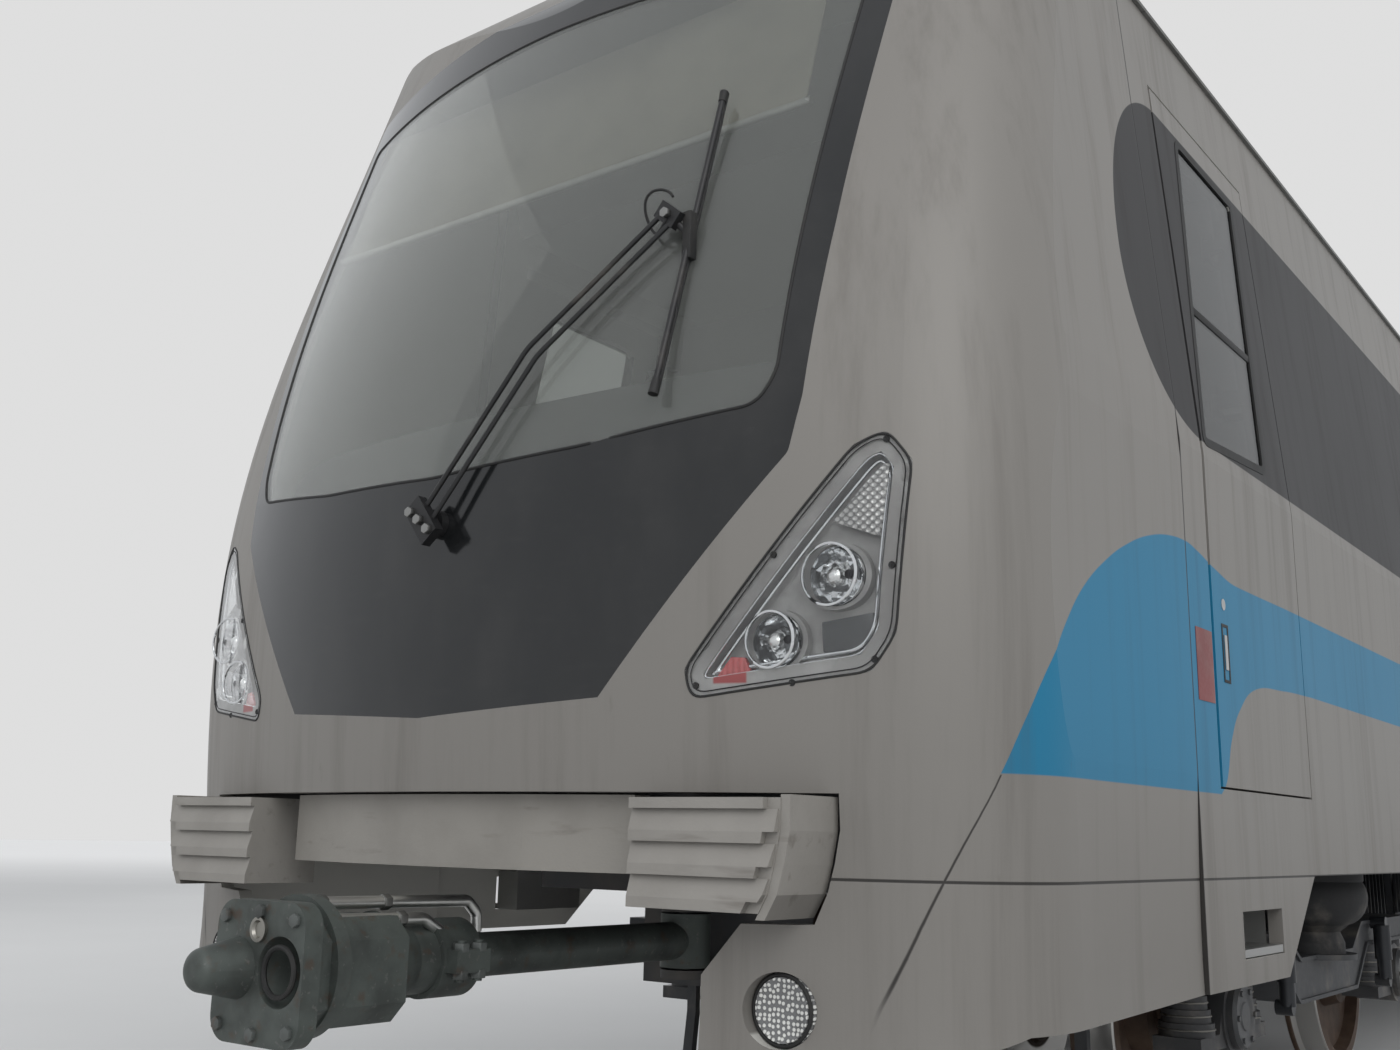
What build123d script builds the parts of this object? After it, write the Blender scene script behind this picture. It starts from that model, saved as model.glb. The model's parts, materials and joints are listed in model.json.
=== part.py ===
from build123d import *
import math
import os

os.makedirs("parts", exist_ok=True)

# Metro cab car on two bogies. Front faces -Y, up is +Z. Millimetres.
# Heights here are above the rail top; saved pieces are lifted by the flange depth, so that
# the wheel flanges stand on z = 0.

# Overall
LENGTH_OVERALL = 20320.0
BODY_WIDTH = 2800.0
FLOOR_Z = 1100.0
BODY_BOTTOM_Z = 872.0
WAIST_Z = 2000.0
GUTTER_Z = 3420.0
SIDE_LEAN = 0.084
ROOF_SHOULDER = {"in": 310.0, "z": 3560.0}
ROOF_CROWN_Z = 3665.0
CEILING_Z = 3200.0
WALL = 110.0
HALF_W = BODY_WIDTH / 2
WIDE = BODY_WIDTH / 2800.0

# Stations along the car
CONE_REACH = 110.0
COUPLER_FACE_Y = -LENGTH_OVERALL / 2 + CONE_REACH
NOSE_Y = COUPLER_FACE_Y + 390.0
CAB_SEAM_Y = NOSE_Y + 1340.0
CAB_REAR_Y = NOSE_Y + 2480.0
REAR_FACE_Y = LENGTH_OVERALL / 2 - 460.0

# Cab end
NOSE_FLARE = 4.0
SHELL = 60.0
MASK_T = 30.0
SCREEN_T = 16.0
LENS_T = 6.0
SKIRT_T = 40.0
TRAY_DEPTH = 110.0
SKIRT_BOTTOM_Z = 400.0

# Doors
CAB_DOOR = {"front_y": NOSE_Y + 1516.0, "rear_y": NOSE_Y + 2390.0, "top_z": 3150.0}
CAB_LEAF_T = 45.0
CAB_LEAF_GAP = 6.0
CAB_LEAF_NOSE_GAP = 20.0
CAB_HINGE_X = HALF_W - 214.0
DOORWAYS = 4
DOORWAY_W = 1300.0
DOORWAY_TOP_Z = 2950.0
FIRST_DOOR_Y = CAB_REAR_Y + 3080.0
LAST_DOOR_Y = REAR_FACE_Y - 1800.0
DOOR_PITCH = (LAST_DOOR_Y - FIRST_DOOR_Y) / (DOORWAYS - 1)
LEAF_T = 32.0
LEAF_CLEAR = 9.0
LEAF_OVERLAP = 20.0
LEAF_TRAVEL = DOORWAY_W / 2 - 10.0
LEAF_TOP_Z = DOORWAY_TOP_Z + 45.0
POCKET_END_GAP = 36.0
SEAL_GAP = 4.0
SKIN_T = 30.0

# Running gear
BOGIE_Y = (NOSE_Y + 3760.0, REAR_FACE_Y - 3000.0)
WHEELBASE = 2300.0
WHEEL_R = 420.0
AXLE_Z = WHEEL_R
BEAM_Z = AXLE_Z + 140.0
GAUGE_BACK = 1353.0
WHEEL_W = 135.0
FLANGE_DEPTH = 28.0
JOURNAL_R = 60.0
JOURNAL_X = 980.0
JOURNAL_CLEAR = 0.5
BEARING_GAP = 0.3
PIVOT_R = 60.0
COUPLER_PIN_R = 30.0
COUPLER_Z = 660.0
DRAFT_PIVOTS = ({"y": NOSE_Y + 1060.0, "way": 1}, {"y": REAR_FACE_Y - 950.0, "way": -1})

# Floor structure
FLOOR_T = 120.0
SLAB_Z = FLOOR_Z - FLOOR_T
SOLE_T = 70.0
SOLE_Z = 880.0
BOLSTER_Z = 860.0
CROSS = {"pitch": 700.0, "width": 60.0, "z": SLAB_Z - 80.0}

SIDES = ((1, "right"), (-1, "left"))
FAR = 1600.0


def block(x0, x1, y0, y1, z0, z1):
    return Pos((x0 + x1) / 2, (y0 + y1) / 2, (z0 + z1) / 2) * Box(abs(x1 - x0), abs(y1 - y0), abs(z1 - z0))


def along_y(sketch, y0, y1):
    return extrude(Plane.XZ.offset(-y1) * sketch, amount=y1 - y0)


def along_x(sketch, x0, x1):
    return extrude(Plane.YZ.offset(x0) * sketch, amount=x1 - x0)


def along_z(sketch, z0, z1):
    return extrude(Plane.XY.offset(z0) * sketch, amount=z1 - z0)


def outline(*points):
    return make_face(Polyline(*points, close=True))


def widened(points):
    """Outline points scaled sideways with the body width."""
    return [(x * WIDE, z) for x, z in points]


def on_side(shape, side):
    """A right-hand shape, or its mirror image for the left."""
    return shape if side > 0 else mirror(shape, about=Plane.YZ)


def both_sides(shape):
    return Compound(children=[shape, on_side(shape, -1)])


def rod_y(radius, y0, y1, x, z):
    return Pos(x, (y0 + y1) / 2, z) * Rot(90, 0, 0) * Cylinder(radius, abs(y1 - y0))


def rod_x(radius, x0, x1, y, z):
    return Pos((x0 + x1) / 2, y, z) * Rot(0, 90, 0) * Cylinder(radius, abs(x1 - x0))


def rod_z(radius, z0, z1, x, y):
    return Pos(x, y, (z0 + z1) / 2) * Cylinder(radius, z1 - z0)


def pipe(radius, bend, *points):
    """Round bar bent along a run of points."""
    path = FilletPolyline(*points, radius=bend) if len(points) > 2 else Line(*points)
    return sweep(Plane(origin=path @ 0, z_dir=path % 0) * Circle(radius), path=path)


def save(node, *shapes):
    solids = [Pos(0, 0, FLANGE_DEPTH) * solid for shape in shapes for solid in shape.solids()]
    export_step(Compound(children=solids) if len(solids) > 1 else solids[0], f"parts/{node}.step")
    print(node, len(solids), round(sum(solid.volume for solid in solids) / 1e9, 4))


def side_x(z, inset=0.0):
    """Half width of the body at a height: upright to the waist, leaning in above it."""
    return HALF_W - SIDE_LEAN * max(0.0, z - WAIST_Z) - inset


def wall_strip(outer, inner, z0, z1):
    """Section of the right-hand side between two insets, bent at the waist."""
    levels = [z0] + ([WAIST_Z] if z0 < WAIST_Z < z1 else []) + [z1]
    up = [(side_x(z, outer), z) for z in levels]
    down = [(side_x(z, inner), z) for z in reversed(levels)]
    return outline(*up, *down)


def roof_edge(drop=0.0):
    """Three arcs of the roof from gutter to gutter, lowered by a thickness."""
    gutter_x = side_x(GUTTER_Z) - drop
    shoulder_x = HALF_W - ROOF_SHOULDER["in"] - drop * 0.6
    shoulder_z = ROOF_SHOULDER["z"] - drop
    mid = ((gutter_x + shoulder_x) / 2 + 28, (GUTTER_Z + shoulder_z) / 2 + 22)
    return [
        ThreePointArc((gutter_x, GUTTER_Z), mid, (shoulder_x, shoulder_z)),
        ThreePointArc((shoulder_x, shoulder_z), (0, ROOF_CROWN_Z - drop), (-shoulder_x, shoulder_z)),
        ThreePointArc((-shoulder_x, shoulder_z), (-mid[0], mid[1]), (-gutter_x, GUTTER_Z)),
    ]


def body_section(inset, z0):
    """Closed section of the whole body, inset by a wall thickness."""
    low = HALF_W - inset
    gutter = side_x(GUTTER_Z) - inset
    right = [(low, z0), (low, WAIST_Z), (gutter, GUTTER_Z)]
    left = [(-x, z) for x, z in reversed(right)]
    return make_face(roof_edge(inset) + [Polyline(*left, *right)])


# Sections of the nose from the skirt to the brow: height, set-back of the front, radius of
# its bow in plan and radius of its corners
NOSE_SECTIONS = (
    {"z": 380.0, "set_back": 12.0, "bow": 3150.0, "corner": 370.0},
    {"z": 1250.0, "set_back": 0.0, "bow": 3150.0, "corner": 370.0},
    {"z": 1850.0, "set_back": 8.0, "bow": 3000.0, "corner": 370.0},
    {"z": 2330.0, "set_back": 86.0, "bow": 2800.0, "corner": 380.0},
    {"z": 2990.0, "set_back": 278.0, "bow": 2650.0, "corner": 400.0},
    {"z": 3700.0, "set_back": 500.0, "bow": 2500.0, "corner": 400.0},
)
BROW = {"start_z": 3250.0, "end_y": NOSE_Y + 960.0, "bulge": 70.0}


def nose_plan(section, inset, rear_y):
    """Plan outline of the cab at one height: bowed front, round corners, straight sides."""
    front_y = NOSE_Y + section["set_back"] + inset
    half = side_x(section["z"]) + NOSE_FLARE - inset
    bow = section["bow"] * WIDE - inset
    radius = section["corner"] * WIDE - inset
    centre_y = front_y + bow
    corner_x = half - radius
    corner_y = centre_y - math.sqrt((bow - radius) ** 2 - corner_x**2)
    start_x = corner_x * bow / (bow - radius)
    start_y = centre_y - math.sqrt(bow**2 - start_x**2)
    turn = (math.pi / 2 - math.asin(start_x / bow)) / 2
    mid_x = corner_x + radius * math.cos(turn)
    mid_y = corner_y - radius * math.sin(turn)
    return make_face(
        [
            ThreePointArc((-start_x, start_y), (0, front_y), (start_x, start_y)),
            ThreePointArc((start_x, start_y), (mid_x, mid_y), (half, corner_y)),
            Polyline((half, corner_y), (half, rear_y), (-half, rear_y), (-half, corner_y)),
            ThreePointArc((-half, corner_y), (-mid_x, mid_y), (-start_x, start_y)),
        ]
    )


def nose_front_y(z):
    """Front position on the centre line at a height, read off the section table."""
    for low, high in zip(NOSE_SECTIONS, NOSE_SECTIONS[1:]):
        if z <= high["z"]:
            share = (z - low["z"]) / (high["z"] - low["z"])
            return NOSE_Y + low["set_back"] + share * (high["set_back"] - low["set_back"])
    return NOSE_Y + NOSE_SECTIONS[-1]["set_back"]


def nose_form(inset, z0=SKIRT_BOTTOM_Z - 50, rear_y=CAB_SEAM_Y):
    """Solid cab form: lofted plan sections, cut to the body section and rolled into the roof."""
    form = loft([Pos(0, 0, s["z"]) * nose_plan(s, inset, rear_y) for s in NOSE_SECTIONS])
    form = form & along_y(body_section(inset, 300.0), NOSE_Y - 60, rear_y)
    start_y = nose_front_y(BROW["start_z"]) + inset
    crown = ROOF_CROWN_Z - inset
    mid = ((start_y + BROW["end_y"]) / 2 - BROW["bulge"], (BROW["start_z"] + crown) / 2 + BROW["bulge"])
    rest = [
        (BROW["end_y"], crown),
        (rear_y + 10, crown),
        (rear_y + 10, 300.0),
        (NOSE_Y - 100, 300.0),
        (NOSE_Y - 100, BROW["start_z"]),
        (start_y, BROW["start_z"]),
    ]
    brow = make_face([ThreePointArc(rest[-1], mid, rest[0]), Polyline(*rest)])
    form = form & along_x(brow, -FAR, FAR)
    return form & block(-FAR, FAR, NOSE_Y - 60, rear_y, z0, 3800)


# Outlines on the cab front, seen from the front, right half
MASK_HALF = ((0, 1212), (531, 1243), (954, 1761), (976, 1890), (1003, 2319), (1033, 2991), (1043, 3330), (0, 3345))
SCREEN_HALF = ((0, 1802), (456, 1824), (877, 1878), (916, 1951), (927, 2219), (961, 2992), (968, 3180), (0, 3195))
LAMP_OUTLINE = ((737, 1297), (753, 1234), (1127, 1284), (1176, 1362), (1205, 1726), (1153, 1798), (1088, 1768))
RECESS_HALF = (
    (0, 1041),
    (1056, 1041),
    (1056, 969),
    (1043, 902),
    (1028, 846),
    (1000, 782),
    (852, 779),
    (810, 727),
    (768, 675),
    (766, 300),
    (0, 300),
)


def symmetric(half):
    """Symmetric outline from its right half, which starts and ends on the centre line."""
    right = widened(half)
    left = [(-x, z) for x, z in reversed(right[1:-1])]
    return outline(*right, *left)


def rounded_ends(face, radius):
    """Outline with its outer corners rounded."""
    return fillet([v for v in face.vertices() if abs(v.X) > 0.25 * BODY_WIDTH], radius)


def front_prism(face, depth):
    return along_y(face, NOSE_Y - 80, NOSE_Y + depth)


nose_outer = nose_form(0, SKIRT_BOTTOM_Z)
nose_lens = nose_form(LENS_T)
nose_screen = nose_form(SCREEN_T)
nose_mask = nose_form(MASK_T)
nose_skirt = nose_form(SKIRT_T)
nose_inner = nose_form(SHELL)
mask_prism = front_prism(rounded_ends(symmetric(MASK_HALF), 40), 1100)
screen_prism = front_prism(rounded_ends(symmetric(SCREEN_HALF), 40), 1100)
recess_prism = front_prism(symmetric(RECESS_HALF), 360)

shell = (nose_outer - nose_inner) & block(-FAR, FAR, NOSE_Y - 60, CAB_SEAM_Y, BODY_BOTTOM_Z, 3800)
shell = shell - recess_prism - mask_prism
lamp_face = outline(*widened(LAMP_OUTLINE))
lamp_face = fillet(lamp_face.vertices(), 24)
lamp_prism = front_prism(lamp_face, 420)
for side, _ in SIDES:
    shell -= on_side(lamp_prism, side)
save("cab_shell", shell)
save("front_mask", ((nose_outer - nose_mask) & mask_prism) - screen_prism)
save("windscreen", (nose_outer - nose_screen) & screen_prism)

# Headlamps: a rimmed tray with two bowl housings behind a clear lens that follows the nose
LAMP_BOWLS = (
    {"x": 1049.0 * WIDE, "z": 1487.0, "r": 65.0, "back": 235.0},
    {"x": 928.0 * WIDE, "z": 1354.0, "r": 59.0, "back": 190.0},
)
HOUSING_T = 8.0
RIM_W = 38.0
inner_prism = front_prism(offset(lamp_face, amount=-RIM_W), 420)
tray = ((nose_skirt - nose_form(TRAY_DEPTH)) & lamp_prism) + (((nose_lens - nose_skirt) & lamp_prism) - inner_prism)
for bowl in LAMP_BOWLS:
    back_y = NOSE_Y + bowl["back"]
    tray += rod_y(bowl["r"] + HOUSING_T, NOSE_Y - 40, back_y, bowl["x"], bowl["z"]) & nose_screen & lamp_prism
for bowl in LAMP_BOWLS:
    back_y = NOSE_Y + bowl["back"]
    tray -= rod_y(bowl["r"], NOSE_Y - 40, back_y - bowl["r"] * 0.6, bowl["x"], bowl["z"])
    tray -= Pos(bowl["x"], back_y - bowl["r"] * 0.6, bowl["z"]) * Sphere(bowl["r"])
lens = (nose_outer - nose_lens) & lamp_prism
save("headlamp_lenses", both_sides(lens))
save("headlamp_trays", both_sides(tray))

# Anti-climbers: saw-tooth ribbed blocks, notched beside a cheek plate at the outer end
CLIMBER = {"top_z": 1028.0, "bottom_z": 807.0, "front_y": NOSE_Y + 20.0, "back_y": NOSE_Y + 240.0, "in_x": 651.0}
RIBS = {"count": 4, "height": 22.0, "undercut": 13.0, "notch": 30.0}
CHEEK = {"t": 22.0, "set_back": 18.0, "depth": 175.0}
CHEEK_EDGE = ((1044.0, 1034.0), (1043.0, 965.0), (1030.0, 900.0), (1014.0, 843.0), (986.0, 795.0))
rib_pitch = (CLIMBER["top_z"] - CLIMBER["bottom_z"] - RIBS["height"]) / (RIBS["count"] - 1)
rib_tops = [CLIMBER["top_z"] - i * rib_pitch for i in range(RIBS["count"])]
front_y = CLIMBER["front_y"]
under_y = front_y + RIBS["undercut"]
tooth_points = [(CLIMBER["back_y"], CLIMBER["top_z"])]
for rib_z in rib_tops:
    tooth_points += [(front_y, rib_z), (front_y, rib_z - RIBS["height"]), (under_y, rib_z - RIBS["height"])]
tooth_points[-1] = (CLIMBER["back_y"], CLIMBER["bottom_z"])


def up_to_cheek(short, y0):
    """Climber block back from a station, with its end stopped short of the cheek plate's outside."""
    edge = [(x - short, z) for x, z in CHEEK_EDGE]
    inner = [(CLIMBER["in_x"], edge[-1][1]), (CLIMBER["in_x"], edge[0][1])]
    form = along_y(outline(*widened(edge + inner)), y0, CLIMBER["back_y"])
    return form & block(0, FAR, NOSE_Y, CLIMBER["back_y"], CLIMBER["bottom_z"], CLIMBER["top_z"])


teeth = along_x(outline(*tooth_points), 500, FAR) & up_to_cheek(CHEEK["t"] + 3, front_y - 5)
notch_form = up_to_cheek(CHEEK["t"] - 1, front_y - 5) - up_to_cheek(CHEEK["t"] + RIBS["notch"], front_y - 10)
for rib_z in rib_tops:
    teeth -= notch_form & block(0, FAR, front_y - 5, under_y + 3, rib_z - RIBS["height"], rib_z)
climber = teeth + up_to_cheek(CHEEK["t"] - 1, under_y + 3)
cheek_points = list(CHEEK_EDGE) + [(x - CHEEK["t"], z) for x, z in reversed(CHEEK_EDGE)]
cheek_y = front_y + CHEEK["set_back"]
climber += along_y(outline(*widened(cheek_points)), cheek_y, cheek_y + CHEEK["depth"])
save("anti_climbers", both_sides(climber))

# Apron between the climbers, on two brackets to the floor platform
APRON = {"half": 582.0 * WIDE, "z0": 869.0, "z1": 1036.0, "y": NOSE_Y + 50.0, "t": 52.0}
apron_front = [(0, 0), (300 * WIDE, 18), (APRON["half"], 72), (APRON["half"], 72 + APRON["t"])]
apron_plan = apron_front + [(-x, y) for x, y in reversed(apron_front[1:])]
apron = along_z(outline(*[(x, APRON["y"] + y) for x, y in apron_plan]), APRON["z0"], APRON["z1"])
for side, _ in SIDES:
    apron += on_side(block(200, 260, APRON["y"] + 60, CLIMBER["back_y"], SLAB_Z - 40, APRON["z1"]), side)
save("front_apron", apron)

# Skirt below the cab, open in the middle for the coupler, with round lamps let into it
SKIRT_EDGE = ((-140, 300), (-140, 380), (310, 540), (430, 580), (1360, 600), (1360, 300))
SKIRT_LAMP = {"x": 930.0 * WIDE, "z": 615.0, "r": 74.0, "y0": NOSE_Y + 188.0, "y1": NOSE_Y + 262.0, "fit": 1.0}
STEP = {"y0": NOSE_Y + 1637.0, "y1": NOSE_Y + 1991.0, "z0": 666.0, "z1": 787.0, "fit": 4.0, "t": 20.0, "depth": 148.0}
edge_prism = along_x(outline(*[(NOSE_Y + y, z) for y, z in SKIRT_EDGE]), -FAR, FAR)
skirt = (nose_outer - nose_skirt) & block(-FAR, FAR, NOSE_Y - 60, CAB_SEAM_Y, SKIRT_BOTTOM_Z, BODY_BOTTOM_Z)
skirt = (skirt - recess_prism - edge_prism) & block(0, FAR, NOSE_Y - 80, CAB_SEAM_Y, 300, 900)
skirt -= rod_y(SKIRT_LAMP["r"], NOSE_Y + 60, NOSE_Y + 310, SKIRT_LAMP["x"], SKIRT_LAMP["z"])
skirt += block(HALF_W - SKIRT_T, HALF_W, CAB_SEAM_Y, CAB_REAR_Y - 120, 600, BODY_BOTTOM_Z)
skirt_cut = ((2358, BODY_BOTTOM_Z), (2030, 600), (2460, 600), (2460, BODY_BOTTOM_Z))
skirt -= along_x(outline(*[(NOSE_Y + y, z) for y, z in skirt_cut]), 0, FAR)
skirt -= block(HALF_W - 100, FAR, STEP["y0"], STEP["y1"], STEP["z0"], STEP["z1"])
save("cab_skirt", both_sides(skirt))
can = rod_y(SKIRT_LAMP["r"] - SKIRT_LAMP["fit"], SKIRT_LAMP["y0"], SKIRT_LAMP["y1"], SKIRT_LAMP["x"], SKIRT_LAMP["z"])
save("skirt_lamps", both_sides(can))

step_y = (STEP["y0"] + STEP["fit"], STEP["y1"] - STEP["fit"])
step_x = HALF_W - STEP["depth"]
step_z = STEP["z0"] + STEP["fit"]
step = block(step_x, HALF_W - 2, *step_y, step_z, step_z + STEP["t"]) + block(step_x, step_x + 12, *step_y, step_z, SOLE_Z)
for y in step_y:
    end_y = y + math.copysign(10, sum(step_y) / 2 - y)
    step += block(step_x, HALF_W - SKIRT_T - 6, y, end_y, step_z, STEP["z1"] + 20)
for i in range(5):
    step -= block(step_x + 25, HALF_W - 12, step_y[0] + 30 + i * 62, step_y[0] + 62 + i * 62, step_z + 8, step_z + 60)
save("cab_steps", both_sides(step))

# Side walls of the cab with the door brackets, and the doors hinged on them
door_y0 = CAB_DOOR["front_y"]
door_y1 = CAB_DOOR["rear_y"]
door_top = CAB_DOOR["top_z"]
hinge_y = door_y1 - 46
HINGE_Z = (FLOOR_Z + 400.0, 2400.0, 2950.0)
KNUCKLE = {"r": 14.0, "half": 30.0, "gap": 2.0, "bracket": 20.0}
DOOR_WINDOW = ((1563, 2054), (1726, 3042), (2240, 3034), (2132, 2095))
cab_wall = along_y(wall_strip(0, WALL, BODY_BOTTOM_Z, GUTTER_Z), CAB_SEAM_Y, CAB_REAR_Y)
cab_wall -= block(HALF_W - 400, FAR, door_y0, door_y1, FLOOR_Z, door_top)
cab_wall -= along_y(wall_strip(CAB_LEAF_T + 2, WALL + 50, FLOOR_Z, door_top), door_y0 - 40, door_y1)
leaf = along_y(wall_strip(0, CAB_LEAF_T, FLOOR_Z + 6, door_top - 8), door_y0 + CAB_LEAF_GAP, door_y1 - CAB_LEAF_GAP)
bevel = outline(
    (HALF_W + 100, door_y0 - 5),
    (HALF_W + 100, door_y0 + 60),
    (HALF_W, door_y0 + CAB_LEAF_NOSE_GAP),
    (HALF_W - 200, door_y0 + 8),
    (HALF_W - 200, door_y0 - 5),
)
leaf -= along_z(bevel, FLOOR_Z - 100, 3300)
window = along_x(fillet(outline(*[(NOSE_Y + y, z) for y, z in DOOR_WINDOW]).vertices(), 45), HALF_W - 300, FAR)
pane = along_y(wall_strip(4, 14, 2000.0, 3100.0), door_y0, door_y1) & window
leaf -= window
for z in HINGE_Z:
    leaf += block(CAB_HINGE_X, side_x(z) - CAB_LEAF_T + 2, hinge_y - 20, hinge_y + 20, z - 20, z + 20)
    leaf += rod_z(KNUCKLE["r"], z - KNUCKLE["half"], z + KNUCKLE["half"], CAB_HINGE_X, hinge_y)
    for way in (-1, 1):
        z0, z1 = sorted(z + way * (KNUCKLE["half"] + d) for d in (KNUCKLE["gap"], KNUCKLE["gap"] + KNUCKLE["bracket"]))
        cab_wall += rod_z(KNUCKLE["r"], z0, z1, CAB_HINGE_X, hinge_y)
        cab_wall += block(CAB_HINGE_X - 14, CAB_HINGE_X + 14, hinge_y, door_y1 + 40, z0, z1)
        cab_wall += block(CAB_HINGE_X - 14, side_x(z) - WALL + 5, door_y1 + 8, door_y1 + 40, z0, z1)
save("cab_side_walls", both_sides(cab_wall))
for side, name in SIDES:
    save(f"cab_door_{name}", on_side(leaf, side))
    save(f"cab_door_{name}_pane", on_side(pane, side))

# Saloon side walls: panels between the doorways, with pockets for the leaves
leaf_out = SKIN_T + LEAF_CLEAR
leaf_in = leaf_out + LEAF_T
centres = [FIRST_DOOR_Y + i * DOOR_PITCH for i in range(DOORWAYS)]
mid_bays = [y + DOOR_PITCH / 2 for y in centres[:-1]]
pocket_reach = DOORWAY_W / 2 + LEAF_TRAVEL + POCKET_END_GAP
edges = [CAB_REAR_Y]
for c in centres:
    edges += [c - DOORWAY_W / 2, c + DOORWAY_W / 2]
edges.append(REAR_FACE_Y)
pocket_section = wall_strip(leaf_out - LEAF_CLEAR, leaf_in + LEAF_CLEAR, FLOOR_Z - 8, LEAF_TOP_Z + 10)
pockets = [along_y(pocket_section, c - pocket_reach, c + pocket_reach) for c in centres]
WINDOW = {"half": DOOR_PITCH / 2 - pocket_reach - 54, "z0": 2070.0, "z1": 3030.0, "r": 60.0}
window_cut = RectangleRounded(2 * WINDOW["half"], WINDOW["z1"] - WINDOW["z0"], WINDOW["r"])
window_holes = [
    along_x(Pos(y, (WINDOW["z0"] + WINDOW["z1"]) / 2) * window_cut, HALF_W - 300, FAR) for y in mid_bays
]
panels = []
for y0, y1 in zip(edges[0::2], edges[1::2]):
    panel = along_y(wall_strip(0, WALL, BODY_BOTTOM_Z, GUTTER_Z), y0, y1)
    for c, pocket in zip(centres, pockets):
        if y0 < c + pocket_reach and c - pocket_reach < y1:
            panel -= pocket
    for y, hole in zip(mid_bays, window_holes):
        if y0 < y < y1:
            panel -= hole
    panels.append(panel)
glazing = along_y(wall_strip(2, 14, 2000.0, 3100.0), CAB_REAR_Y, REAR_FACE_Y)
panes = Compound(children=[glazing & hole for hole in window_holes])
portals = []
for c, pocket in zip(centres, pockets):
    for z0, z1 in ((DOORWAY_TOP_Z, GUTTER_Z), (BODY_BOTTOM_Z, FLOOR_Z)):
        portals.append(along_y(wall_strip(0, WALL, z0, z1), c - DOORWAY_W / 2, c + DOORWAY_W / 2) - pocket)
for side, name in SIDES:
    save(f"side_wall_{name}", *[on_side(panel, side) for panel in panels])
save("door_portals", both_sides(Compound(children=portals)))
save("side_windows", both_sides(panes))

# Passenger doors: leaves that slide into the pockets, grouped by the way they move
leaf_len = DOORWAY_W / 2 + LEAF_OVERLAP - SEAL_GAP
LEAF_WINDOW = {"z": 2260.0, "height": 900.0, "margin": 115.0, "r": 70.0}
leaf_hole = RectangleRounded(leaf_len - 2 * LEAF_WINDOW["margin"], LEAF_WINDOW["height"], LEAF_WINDOW["r"])
for way, way_name in ((-1, "front"), (1, "rear")):
    leaves = []
    glasses = []
    for c in centres:
        ends = sorted((c + way * SEAL_GAP, c + way * (SEAL_GAP + leaf_len)))
        one = along_y(wall_strip(leaf_out, leaf_in, FLOOR_Z, LEAF_TOP_Z), *ends)
        cut = along_x(Pos(sum(ends) / 2, LEAF_WINDOW["z"]) * leaf_hole, HALF_W - 300, FAR)
        leaves.append(one - cut)
        glasses.append(along_y(wall_strip(leaf_out + 2, leaf_out + 10, 1700.0, 2800.0), *ends) & cut)
    for side, name in SIDES:
        save(f"passenger_doors_{name}_{way_name}", *[on_side(one, side) for one in leaves])
        save(f"passenger_door_glass_{name}_{way_name}", *[on_side(one, side) for one in glasses])

# Roof with its gutters and ceiling channels, and the two air-conditioning units let into it
gutter_x = side_x(GUTTER_Z)
ceiling_x = HALF_W - 300.0
ceiling = [(-gutter_x, GUTTER_Z), (WALL + 8 - gutter_x, GUTTER_Z), (-ceiling_x, CEILING_Z)]
ceiling += [(-x, z) for x, z in reversed(ceiling)]
roof = along_y(make_face(roof_edge() + [Polyline(*ceiling)]), CAB_SEAM_Y, REAR_FACE_Y)
GUTTER_LIP = ((-40, 1), (12, 1), (12, 13), (-40, 30))
LIGHT_CHANNEL = {"x0": 380.0, "x1": 560.0, "depth": 30.0, "end_gap": 250.0}
UNIT = {"half_w": 800.0, "half_len": 1700.0, "base_z": 3480.0, "top_z": 3800.0, "fit": 15.0, "chamfer": 90.0}
UNITS_Y = (NOSE_Y + 5060.0, REAR_FACE_Y - 5100.0)
FAN = {"offset": 620.0, "r": 330.0, "depth": 90.0, "hub_r": 70.0, "bars": 4, "bar_w": 12.0, "bar_drop": 6.0}
SLOTS = {"count": 7, "start": 1080.0, "pitch": 78.0, "width": 34.0, "half": 560.0, "depth": 40.0}
lip = along_y(outline(*[(gutter_x + x, GUTTER_Z + z) for x, z in GUTTER_LIP]), CAB_SEAM_Y, REAR_FACE_Y)
channel_y = (CAB_REAR_Y + LIGHT_CHANNEL["end_gap"], REAR_FACE_Y - LIGHT_CHANNEL["end_gap"])
channel = block(LIGHT_CHANNEL["x0"], LIGHT_CHANNEL["x1"], *channel_y, CEILING_Z - 5, CEILING_Z + LIGHT_CHANNEL["depth"])
for side, _ in SIDES:
    roof = roof + on_side(lip, side) - on_side(channel, side)
units = []
for y in UNITS_Y:
    reach = (UNIT["half_w"] + UNIT["fit"], UNIT["half_len"] + UNIT["fit"])
    roof -= block(-reach[0], reach[0], y - reach[1], y + reach[1], UNIT["base_z"], 3900)
    unit = block(-UNIT["half_w"], UNIT["half_w"], y - UNIT["half_len"], y + UNIT["half_len"], UNIT["base_z"], UNIT["top_z"])
    unit = chamfer(unit.edges().group_by(Axis.Z)[-1].filter_by(Axis.Y), UNIT["chamfer"])
    top = UNIT["top_z"]
    for way in (-1, 1):
        fan_y = y + way * FAN["offset"]
        unit -= rod_z(FAN["r"], top - FAN["depth"], top + 5, 0, fan_y)
        unit += rod_z(FAN["hub_r"], top - FAN["depth"], top - FAN["bar_drop"], 0, fan_y)
        for i in range(FAN["bars"]):
            bar = Box(2 * FAN["r"] + 10, FAN["bar_w"], 14)
            unit += Pos(0, fan_y, top - FAN["bar_drop"] - 7) * Rot(0, 0, 180 * i / FAN["bars"]) * bar
        for i in range(SLOTS["count"]):
            slot_y = y + way * (SLOTS["start"] + i * SLOTS["pitch"])
            unit -= block(-SLOTS["half"], SLOTS["half"], slot_y, slot_y + SLOTS["width"], top - SLOTS["depth"], top + 5)
    units.append(unit)
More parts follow.
